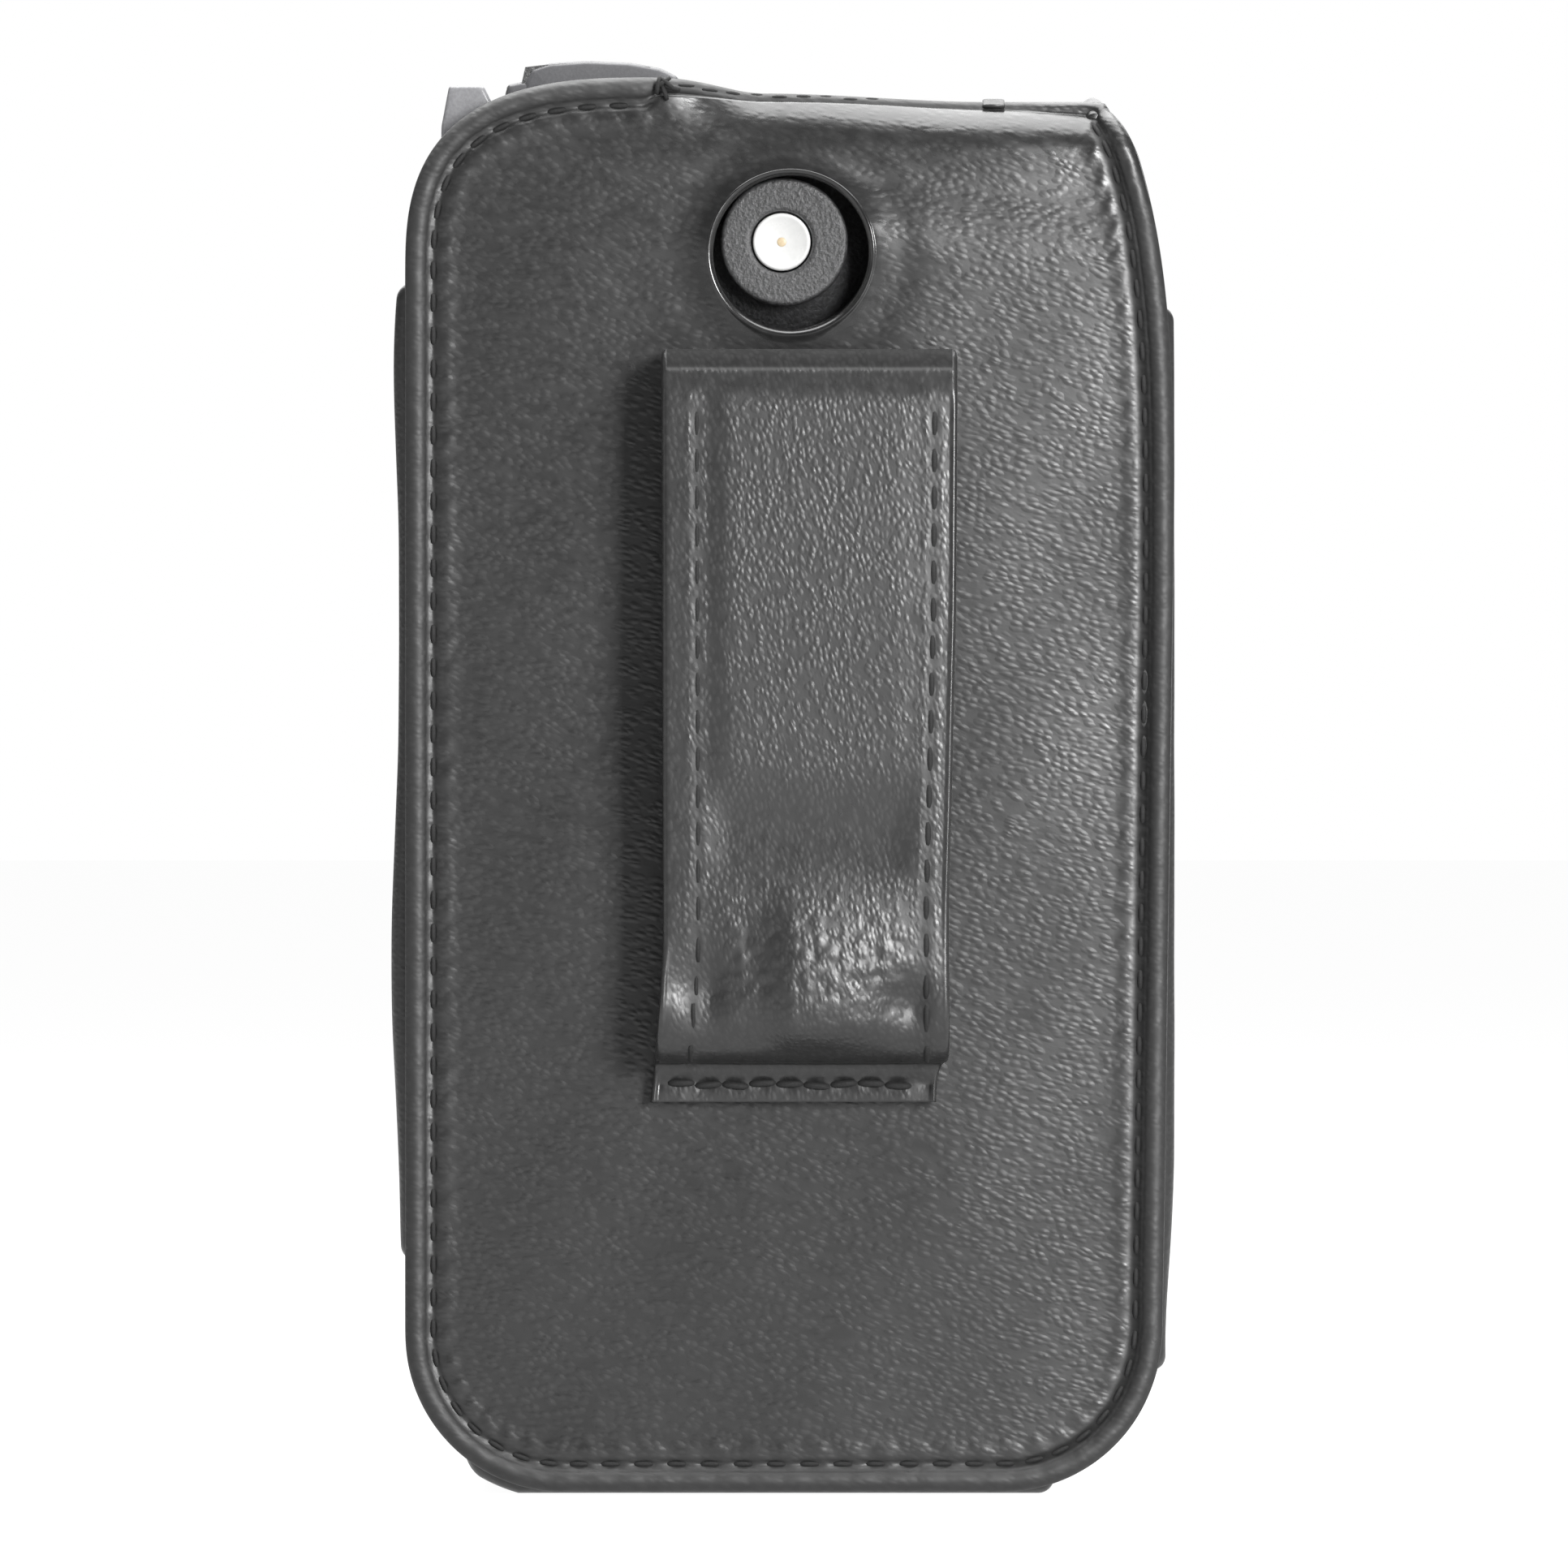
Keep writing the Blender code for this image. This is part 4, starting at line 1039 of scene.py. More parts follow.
@dataclass
class BackPanel(SewnPanel):
    """The back leather, with its port, its lip and the marks of what lies under it."""

    fall_start: float = 2.0 * MM
    fall_run: float = 28.0 * MM
    fall_low: float = 1.0 * MM
    fall_more: float = 0.25 * MM
    moat: float = 0.06 * MM
    lip_rise: float = 0.75 * MM
    port_swell: float = 0.45 * MM
    hem_in: float = 0.75 * MM
    hem_groove: float = 0.06 * MM
    hem_pull: float = 0.03 * MM
    lip_polish: float = 0.45

    def sewn_share(self) -> Array:
        """Share of the full roll: full from the knot round to the strap, none along the lip's edge."""
        past_knot = smooth_step(self.line[:, 0], SIZES.knot_x - 0.6 * MM, SIZES.knot_x + 0.6 * MM)
        return 1 - self.along_top() * past_knot

    def relief(self, x: Array, z: Array) -> Array:
        """Unevenness, the fall to the right, the port's collar, the rise below the lip and the hem's groove.

        The fall is the square of the distance past a line right of the middle, and then straight.
        The collar is a bell of the distance from the port, with a shallow moat round it.
        The rise below the lip is two smooth steps of the height, slow from below and
        quick to the lip, and fades to the left, with a bell of the height over the port that
        falls off to both sides. The hem's groove follows the lip's edge and deepens at each stitch.

        Args:
            x: places across.
            z: heights, laid flat.

        Returns:
            Height above the face.
        """
        share = np.maximum(x - self.fall_start, 0.0) / self.fall_run
        tilt = self.fall_low + self.fall_more * smooth_step(z, 20 * MM, 70 * MM)
        fall = tilt * (share**2 - np.maximum(share - 0.62, 0.0) ** 2)
        away = SIZES.from_port(x, z) - SIZES.port_radius
        collar = self.collar * bell(away, 0.4 * MM, 0.9 * MM) - self.moat * bell(away, 3.0 * MM, 1.2 * MM)
        rise = smooth_step(z, 60 * MM, 100 * MM) * (1 - smooth_step(z, 100.5 * MM, 107.5 * MM))
        rise = self.lip_rise * rise * smooth_step(x, -14 * MM, 12 * MM)
        over_port = smooth_step(x, -16 * MM, 3 * MM) * (1 - smooth_step(x, 5 * MM, 17 * MM))
        swell = self.port_swell * over_port * bell(z, 103.6 * MM, 3 * MM)
        curl = smooth_step(x, SIZES.knot_x, SIZES.knot_x + 6 * MM)
        groove = curl * bell(z, SIZES.top - self.hem_in, 0.25 * MM) * (self.hem_groove + self.hem_pull * SIZES.beat(x))
        return super().relief(x, z) - fall + collar + rise + swell - groove

    def smoothness(self, x: Array, z: Array) -> Array:
        """Polish round the port's rim and over the lip.

        Args:
            x: places across.
            z: heights, laid flat.

        Returns:
            Polish, 1 where the grain is drawn flat.
        """
        rim = 1 - smooth_step(SIZES.from_port(x, z) - SIZES.port_radius, 0.8 * MM, 2.4 * MM)
        lip = self.lip_polish * smooth_step(z, SIZES.lip_start - 2 * MM, SIZES.lip_start + 1 * MM)
        return np.maximum(rim, lip * smooth_step(x, SIZES.knot_x - 8 * MM, SIZES.knot_x + 4 * MM))


@dataclass
class Shell:
    """The sewn leather body: back and front, with their seams."""

    thread: float = 0.23 * MM
    stitch: float = 1.85 * MM
    sunk: float = 0.2 * MM
    hem_thread: float = 0.15 * MM
    hem_stitch: float = 1.6 * MM
    hem_pitch: float = 1.9 * MM
    knot_thread: float = 0.2 * MM
    knot_stitch: float = 1.5 * MM

    def seam(self, panel: SewnPanel, name: str, node: str) -> None:
        """Lay a stitch in the panel's ditch at each beat of its seam.

        Args:
            panel: panel whose edge is sewn.
            name: piece name.
            node: thread node that the row stands for.
        """
        length = panel.along[1] * panel.columns
        closed = np.append(panel.along, length)
        at = np.arange(int(length / SIZES.stitch)) * SIZES.stitch
        at = at[np.interp(at, closed, np.append(panel.sewn, panel.sewn[:1])) > 0.6]
        flat = panel.line + panel.normals * (2 * panel.roll + panel.seam.step)[:, None]
        height = panel.relief(*flat.T) - self.sunk
        line, lifted = (panel.bent(panel.placed(flat, height + up)) for up in (0.0, MM))
        rows = ((line, 0.0), (lifted, 0.0), (line, 0.2 * MM), (line, -0.2 * MM))
        place, above, after, before = (
            read_at(at + shift, closed, np.vstack([row, row[:1]]), length) for row, shift in rows
        )
        sew(name, place, unit(after - before), unit(above - place), self.stitch, self.thread, node)

    def build_back(self) -> BackPanel:
        """Make the back leather with its seam, hem, knot and tab.

        Returns:
            The back panel, laid out.
        """
        port = (SIZES.port_x, SIZES.port_z)
        panel = BackPanel("back_leather", SIZES.back_outline(), SIZES.back, -1.0, port, SIZES.port_radius)
        settle(panel.build(), Finish.PANEL, Body.CASE, "grain_leather", "back_panel", "back_roll")
        self.seam(panel, "back_stitches", "back_seam_thread")
        self.build_hem(panel)
        self.build_knot()
        self.build_tab()
        return panel

    def build_hem(self, panel: BackPanel) -> None:
        """Sew along the lip's edge: thin stitches in the hem's groove, bent over with the lip.

        Args:
            panel: the back panel that the hem belongs to.
        """
        x = np.arange(-8.4 * MM, 15.4 * MM, self.hem_pitch)
        number = np.arange(len(x))
        x = x + 0.2 * MM * np.sin(3.1 * number)
        z = SIZES.top - panel.hem_in + 0.12 * MM * np.cos(2.2 * number)
        level = SIZES.back - panel.relief(x, z)
        rows = ((x, level), (x, level - MM), (x + 0.3 * MM, level), (x - 0.3 * MM, level))
        place, above, after, before = (SIZES.over_lip(joined(across, depth, z)) for across, depth in rows)
        sew("hem_stitches", place, unit(after - before), unit(above - place), self.hem_stitch, self.hem_thread)

    def build_knot(self) -> None:
        """Finish the back seam with crossing stitches where the rolled edge meets the lip."""
        slant = np.radians([35.0, 140.0, 80.0, -15.0, 110.0])
        place = np.array([[-10.3, -12.5, 114.9], [-9.9, -12.55, 114.8], [-10.7, -12.5, 114.7],
                          [-9.6, -12.45, 114.5], [-10.2, -12.4, 114.2]]) * MM
        ahead = joined(np.cos(slant), 0.0, np.sin(slant))
        out = np.tile(BACKWARDS, (len(slant), 1))
        sew("thread_knot", place, ahead, out, self.knot_stitch, self.knot_thread)

    @staticmethod
    def build_tab() -> None:
        """Make the small turned end of leather beside the strap: a flat oval section along the lip's arc."""
        angle, turn = np.linspace(1.02, 1.3, 14)[:, None], full_turn(28)
        x = 16.65 * MM + 0.9 * MM * squarish(np.cos(turn), 0.35)
        reach = SIZES.lip_radius - 0.12 * MM + 0.2 * MM * squarish(np.sin(turn), 0.6)
        y = SIZES.back + SIZES.lip_radius - reach * np.cos(angle)
        piece = swept("strap_root_tab", joined(x, y, SIZES.lip_start + reach * np.sin(angle)))
        set_polish(piece, np.full(y.shape, -0.5))
        settle(piece, Finish.GUSSET, Body.CASE, "grain_leather")

    def build_front(self) -> None:
        """Make the front leather with its seam."""
        panel = SewnPanel("front_leather", SIZES.front_outline(), SIZES.front, 1.0, (0.0, 52 * MM))
        settle(panel.build(), Finish.PANEL, Body.CASE, "grain_leather", "front_panel", "front_roll")
        self.seam(panel, "front_stitches", "front_seam_thread")


@dataclass
class Gussets:
    """Leather channels down the sides and under the case, each with a flange at both panels."""

    thickness: float = 1.2 * MM
    flange: float = 4.0 * MM
    bulge: float = 0.85 * MM
    rounding: float = 1.3 * MM
    sweep: float = 0.8 * MM
    folds: float = 0.07 * MM
    stations: int = 140

    def spread(self, low: float, high: float) -> Array:
        """Stations from end to end, spaced as a cosine so that they crowd at the rounded ends."""
        turn = np.linspace(0.0, math.pi, self.stations)[:, None]
        return low + (high - low) * (1 - np.cos(turn)) / 2

    def drawn_in(self, along: Array) -> Array:
        """How far a web draws in at its cut ends: a quarter circle of the distance to the nearer end."""
        share = np.clip(1 - np.minimum(along - along.min(), along.max() - along) / self.rounding, 0.0, 1.0)
        return self.rounding * (1 - np.sqrt(1 - share**2))

    @property
    def plane(self) -> float:
        """Depth of the middle of a flange."""
        return SIZES.front - SIZES.leather - SIZES.gap - self.thickness / 2

    def section(self) -> tuple[Array, Array, Array]:
        """Closed channel section: reach in from the web's middle, depth, and how near each point is to the web.

        The middle line runs along one flange, round a quarter circle, across the web and
        back along the other; the section is that line shifted half the thickness each way.

        Returns:
            Reach in, depth, and a share that is 1 on the web and 0 at a flange's edge.
        """
        half = self.thickness / 2
        radius, turn = half + SIZES.gap, quarter_turn(7)
        low = joined(radius - radius * np.sin(turn), -self.plane + radius - radius * np.cos(turn))
        web = joined(0.0, np.linspace(-self.plane + radius, self.plane - radius, 26)[1:-1])
        high = low[::-1] * np.array([1.0, -1.0])
        line = np.vstack([[self.flange, -self.plane], low, web, high, [self.flange, self.plane]])
        _, side = turned_path(line)
        reach, depth = np.vstack([line + side * half, (line - side * half)[::-1]]).T
        return reach, depth, np.clip(1 - reach / self.flange, 0.0, 1.0)

    def left_stand(self, z: Array) -> Array:
        """How far the left web stands out: two swellings, each a bell of the height."""
        return self.bulge * (0.7 + 0.75 * bell(z, 94 * MM, 11 * MM) + 0.8 * bell(z, 43 * MM, 13 * MM))

    def right_stand(self, z: Array) -> Array:
        """How far the right web stands out: hardly, and it leans in towards the foot with the back."""
        return 0.15 * self.bulge - SIZES.lean_in(z)

    def crease(self, along: Array, depth: Array) -> Array:
        """Small sideways folds of a web: two slow waves along it, strongest at mid depth."""
        wave = np.sin(math.tau * along / (17 * MM) + 0.7) + 0.6 * np.sin(math.tau * along / (9 * MM))
        return self.folds * wave * np.cos(np.clip(depth / self.plane, -1, 1) * math.pi / 2)

    def build_side(self, name: str, side: float, low: float, high: float) -> None:
        """Make one side channel between two heights.

        Args:
            name: node that the channel stands for.
            side: -1 for the left and 1 for the right.
            low: height of its foot.
            high: height of its head.
        """
        reach, depth, near_web = self.section()
        z = self.spread(low, high)
        share = np.clip((z - low) / (high - low), 0.005, 0.995)
        stands = self.right_stand(z) if side > 0 else self.left_stand(z)
        web = stands * np.sin(math.pi * share) ** 0.12 + self.crease(z, depth) - self.drawn_in(z)
        x = SIZES.half_width - self.thickness / 2 - reach + web * near_web
        piece = swept(f"{name}_leather", joined(side * x, depth, z))
        settle(piece, Finish.GUSSET, Body.CASE, "gusset_leather", name)

    def build_bottom(self, left: float, right: float) -> None:
        """Make the bottom channel, whose ends rise with the case's corners.

        Args:
            left: place across of its left end.
            right: place across of its right end.
        """
        reach, depth, near_web = self.section()
        x = self.spread(left, right)
        over = np.maximum(np.abs(x) - (SIZES.half_width - SIZES.corner), 0.0)
        arc = np.sqrt((SIZES.corner + self.sweep) ** 2 - over**2)
        base = np.maximum(SIZES.base + SIZES.corner - arc, 0.0)
        z = self.thickness / 2 + reach + (base + self.drawn_in(x)) * near_web
        piece = swept("bottom_gusset_leather", joined(x, depth, z))
        settle(piece, Finish.GUSSET, Body.CASE, "gusset_leather", "bottom_gusset")

    def build(self) -> None:
        """Make the three channels."""
        self.build_side("left_gusset", -1.0, 18.9 * MM, 98.9 * MM)
        self.build_side("right_gusset", 1.0, 10.0 * MM, 97.0 * MM)
        self.build_bottom(-26.5 * MM, 21.6 * MM)


@dataclass
class BeltLoop:
    """Sewn leather belt loop: turned head, run with a raised middle, bulging end, fold and stitched foot."""

    top: float = 93.0 * MM
    bottom: float = 32.1 * MM
    middle_x: float = 1.6 * MM
    leather: float = 1.6 * MM
    bead: float = 0.45 * MM
    lining: float = 1.0 * MM
    lining_half: float = 10.8 * MM
    lining_low: float = 50.1 * MM
    clearance: float = 5.2 * MM
    head: float = 8.1 * MM
    foot: float = 2.6 * MM
    fold: float = 1.4 * MM
    slope: float = 4.6 * MM
    left_seam: float = 2.85 * MM
    right_seam: float = 1.85 * MM
    left_rise: float = 5.7 * MM
    right_rise: float = 5.0 * MM
    pitch: float = 3.0 * MM
    foot_pitch: float = 2.2 * MM
    foot_half: float = 10.4 * MM
    side_stitch: float = 2.7 * MM
    end_stitch: float = 2.3 * MM
    end_thread: float = 0.3 * MM
    raised: float = 0.11 * MM
    left_groove: float = 0.04 * MM
    right_groove: float = 0.06 * MM
    groove_pull: float = 0.03 * MM
    flap: float = 0.15 * MM
    swell: float = 1.1 * MM
    hollow: float = 0.3 * MM
    dent: float = 0.95 * MM
    foot_thin: float = 0.4 * MM
    foot_groove: float = 0.12 * MM
    foot_pull: float = 0.04 * MM
    wrinkle: float = 0.015 * MM
    head_lean: float = 0.5 * MM
    plain_polish: float = 0.7
    brow_polish: float = 0.8
    head_dull: float = 4.0
    seam_dull: float = 2.2
    stations: int = 420
    across: int = 104
    inside: int = 14
    wrinkles: int = 9
    left_edge: Marks = (
        (32.1, -11.3), (35.0, -11.0), (40.0, -10.5), (45.0, -10.2), (60.0, -10.25), (93.0, -10.35),
    )
    right_edge: Marks = (
        (32.1, 11.9), (34.6, 12.0), (36.2, 12.9), (42.0, 12.85), (48.0, 12.8), (57.0, 13.05), (72.0, 13.4),
        (93.0, 13.55),
    )

    @property
    def run(self) -> float:
        """Distance of the leather's middle from the back of the case, along the straight run."""
        return self.clearance + self.lining + SIZES.gap + self.leather / 2

    @property
    def seat(self) -> float:
        """Distance of the leather's middle from the back at the head and the foot."""
        return SIZES.gap + self.leather / 2

    @property
    def fold_z(self) -> float:
        """Height of the fold above the foot."""
        return self.bottom + self.foot + self.fold

    @property
    def foot_seam(self) -> float:
        """Height of the stitches in the foot."""
        return self.bottom + 0.55 * self.foot

    def lay_out(self) -> None:
        """Work out the middle line as (distance off the back, height) and its directions.

        The line runs up the hidden head, out over a turn with a slanting edge, down the run, in along a
        squarish quarter ellipse, round the fold's quarter circle and down the foot. A weighted
        mean rounds its corners, and a smooth step leans the run in towards the head.
        """
        turn = quarter_turn(40)
        seat, run, crest = self.seat, self.run, self.top - self.leather / 2
        base = seat + self.fold
        head = [
            [seat, crest - self.head],
            [seat, crest - 0.3 * MM],
            [seat + 0.4 * MM, crest],
            [run - 1.1 * MM, crest],
            [run - 0.85 * MM, crest - 0.25 * MM],
            [run - 0.1 * MM, crest - 2.9 * MM],
            [run, crest - 3.5 * MM],
        ]
        slope = joined(base + (run - base) * np.cos(turn) ** 0.6, self.fold_z + self.slope * (1 - np.sin(turn)))
        fold = joined(base - self.fold * np.sin(turn), self.fold_z - self.fold * (1 - np.cos(turn)))
        path, _ = even_steps(np.vstack([head, slope, fold[1:], [seat, self.bottom]]), self.stations, False)
        edge = smooth_step(np.arange(self.stations), 92.0, 108.0)[:, None]
        self.path = eased(path, 1) * (1 - edge) + eased(path, 3) * edge
        fall = self.head_lean * smooth_step(self.path[:, 1], 70 * MM, 91 * MM)
        self.path[:, 0] -= fall * (self.path[:, 0] - seat) / (run - seat)
        self.along = lengths(self.path)
        self.ahead, self.out = turned_path(self.path)
        self.outer = smooth_step(self.along, self.head + 7.0 * MM, self.head + 9.0 * MM)
        self.left, self.right = self.edge_line(self.left_edge), self.edge_line(self.right_edge)

    def edge_line(self, marks: Marks) -> Array:
        """Side of the strap at each station, from marks of height and place across in millimetres."""
        heights, places = np.array(marks).T
        return eased(np.interp(self.path[:, 1], heights * MM, places * MM)[:, None], 9)[:, 0]

    def relief(self, from_left: Array, from_right: Array, x: Array) -> Array:
        """Height of the outer face over the plain strap.

        Two stitched grooves, a raised middle between two ramps, a hollow and then a
        swelling above the fold, steep on its left, two thumb dents, sine
        waves that run nine ways for its wrinkles, and a thinner foot with a groove under its stitches.
        Each is a smooth step or a bell of its own distance.

        Args:
            from_left: distance from the left side.
            from_right: distance from the right side.
            x: places across.

        Returns:
            Height, in metres.
        """
        z = self.path[:, 1:]
        above = smooth_step(z, self.fold_z + 0.5 * MM, self.fold_z + 3 * MM)
        middle = smooth_step(from_left, self.left_seam + 0.2 * MM, self.left_rise)
        middle = middle * smooth_step(from_right, self.right_seam + 0.2 * MM, self.right_rise)
        pull = self.groove_pull * np.cos(math.tau * self.along / self.pitch)[:, None]
        groove = bell(from_left, self.left_seam, 0.26 * MM) * (self.left_groove + pull)
        groove = groove + bell(from_right, self.right_seam, 0.34 * MM) * (self.right_groove + pull)
        flap = self.flap * np.maximum(1 - from_right / self.right_seam, 0.0)
        height = (self.raised * middle - groove - flap) * above
        swell = (1 - smooth_step(z, 42.5 * MM, 51.5 * MM)) * above * self.lopsided(x, 0.5, 2.2, 7.5)
        height = height + self.swell * swell - self.hollow * bell(z, 54 * MM, 4 * MM) * middle
        for place, level, tall in ((-6.4, 41.2, 2.8), (9.9, 40.0, 2.0)):
            height = height - self.dent * self.lopsided(x, place, 2.8, 1.3) * bell(z, level * MM, tall * MM)
        top = self.bottom + self.foot
        height = height - self.foot_thin * (1 - smooth_step(z, top - 1 * MM, top))
        depth = self.foot_groove + self.foot_pull * np.cos(math.tau * x / self.foot_pitch)
        height = height - depth * bell(z, self.foot_seam, 0.45 * MM)
        waves = sum(plane_wave(x, z, (1.05 + 0.15 * k) * MM, 2.4 * k, k**2) for k in range(self.wrinkles))
        height = height + self.wrinkle * waves * bell(z, 43 * MM, 4.5 * MM) * middle
        return height * self.outer[:, None]

    @staticmethod
    def lopsided(x: Array, place: float, left: float, right: float) -> Array:
        """Bell of the place across with a width of its own on each side, all in millimetres."""
        return np.where(x < place * MM, bell(x, place * MM, left * MM), bell(x, place * MM, right * MM))

    def smoothness(self, from_left: Array, from_right: Array) -> Array:
        """Polish of the strap.

        Grain shows on the raised middle, above and on the bulge; the head and the seams are dull,
        and the brow under the head is smooth. Each is a smooth step or a bell of its own distance.

        Args:
            from_left: distance from the left side.
            from_right: distance from the right side.

        Returns:
            Polish, 1 where smooth and below 0 where dull.
        """
        z, along = self.path[:, 1:], self.along[:, None] - self.head
        middle = smooth_step(from_left, self.left_rise - 1.8 * MM, self.left_rise + 0.8 * MM)
        middle = middle * smooth_step(from_right, self.right_rise - 2.4 * MM, self.right_rise + 0.8 * MM)
        high = smooth_step(z, 56 * MM, 60.5 * MM)
        bulge = smooth_step(z, 36.8 * MM, 38.4 * MM) * (1 - smooth_step(z, 48 * MM, 52 * MM))
        wide = smooth_step(from_left, 0.4 * MM, 2.4 * MM) * smooth_step(from_right, 0.4 * MM, 2.2 * MM)
        head = 1 - smooth_step(along, 6.9 * MM, 8.3 * MM)
        brow = smooth_step(along, 5.3 * MM, 5.9 * MM)
        seams = bell(from_left, self.left_seam, 0.6 * MM) + bell(from_right, self.right_seam, 0.6 * MM)
        face = self.plain_polish * (1 - np.maximum(middle * high, wide * bulge)) - self.seam_dull * seams
        return face * (1 - head) + ((self.brow_polish + self.head_dull) * brow - self.head_dull) * head

    def carried_off(self, x: Array, lift: Array) -> Array:
        """Carry a section along the middle line as carried does, off the back of the case."""
        return carried(self.path * OFF_BACK + [SIZES.back, 0.0], self.out * OFF_BACK, x, lift)

    def build(self) -> None:
        """Make the strap of the loop, its lining and its stitches.

        The section runs over the outer face, round the right edge, back over the inside and
        round the left edge. Each edge is two quarter circles.
        """
        self.lay_out()
        bead, half = self.bead, self.leather / 2
        sine, cosine = np.sin(quarter_turn(6)), np.cos(quarter_turn(6))
        left, right = self.left[:, None], self.right[:, None]
        start, width = left + bead, right - left - 2 * bead
        upper = start + width * np.linspace(0.0, 1.0, self.across)
        lower = start + width * np.linspace(1.0, 0.0, self.inside)
        bulge = bead * np.concatenate([sine[1:], cosine[:-1]])
        x = np.hstack([upper, right - bead + bulge, lower, start - bulge])
        edge = np.concatenate([half - bead + bead * cosine[1:], bead - half - bead * sine[:-1]])
        level = np.concatenate([np.full(self.across, half), edge, np.full(self.inside, -half), -edge])
        lift = np.tile(level, (self.stations, 1))
        lift[:, : self.across] += self.relief(upper - left, right - upper, upper)
        piece = swept("belt_loop_leather", self.carried_off(x, lift))
        polish = np.ones(x.shape)
        polish[:, : self.across] = self.smoothness(upper - left, right - upper)
        set_polish(piece, polish)
        settle(piece, Finish.LOOP, Body.CASE, "grain_leather", "belt_loop")
        self.build_lining()
        self.sew_side("left", self.left + self.left_seam, 0.19 * MM, 0.04 * MM)
        self.sew_side("right", self.right - self.right_seam, 0.27 * MM, 0.08 * MM)
        self.sew_end("foot", self.foot_seam, -0.9 * MM, 0.3 * MM)
        self.sew_end("head", self.top - 6.4 * MM, 0.0, 0.0)

    def build_lining(self) -> None:
        """Make the suede strip inside the loop."""
        low, high = self.lining_low, self.top - 3.9 * MM
        left, right = self.middle_x - self.lining_half, self.middle_x + self.lining_half
        corners = np.array([[left, low], [right, low], [right, high], [left, high]])
        near = SIZES.back - self.clearance - self.lining
        piece = slab("belt_loop_suede", corners, near + 0.5 * MM, near + self.lining, 0.2 * MM)
        settle(piece, Finish.SUEDE, Body.CASE, "suede_lining", "belt_loop_lining")

    def sew_side(self, side: str, across: Array, radius: float, sunk: float) -> None:
        """Sew one side of the run, a stitch at each beat of its groove.

        Args:
            side: name of the side, left or right.
            across: place of the seam across, at each station.
            radius: radius of the thread.
            sunk: how far the thread's middle lies below the strap's face.
        """
        first, last = self.head + 8.4 * MM, self.along[-1] - self.foot - 3.2 * MM
        at = np.arange(math.ceil(first / self.pitch), last / self.pitch) * self.pitch
        x = across[:, None]
        lift = self.relief(x - self.left[:, None], self.right[:, None] - x, x) + self.leather / 2 - sunk
        ahead, out = (joined(0.0, *(way * OFF_BACK).T) for way in (self.ahead, self.out))
        rows = (read_at(at, self.along, row) for row in (self.carried_off(x, lift)[:, 0], ahead, out))
        sew(f"loop_{side}_stitches", *rows, self.side_stitch, radius, f"loop_{side}_thread")

    def sew_end(self, end: str, height: float, shift: float, sunk: float) -> None:
        """Sew across the foot or the head, flat on the back of the case.

        Args:
            end: name of the end, foot or head.
            height: height of the row.
            shift: shift of the row across.
            sunk: how far the row lies below the plain strap's face.
        """
        reach = self.foot_half / self.foot_pitch
        x = np.arange(math.ceil(-reach), reach) * self.foot_pitch + self.middle_x + shift
        x = np.round(x / self.foot_pitch) * self.foot_pitch
        number = np.arange(len(x))
        level = SIZES.back - SIZES.gap - self.leather + 0.05 * MM + sunk
        place = joined(x, level, height + 0.12 * MM * np.cos(1.9 * number))
        ahead = unit(joined(1.0, 0.0, 0.1 * np.sin(2.3 * number)))
        out = np.tile(BACKWARDS, (len(x), 1))
        sew(f"loop_{end}_stitches", place, ahead, out, self.end_stitch, self.end_thread, f"loop_{end}_thread")


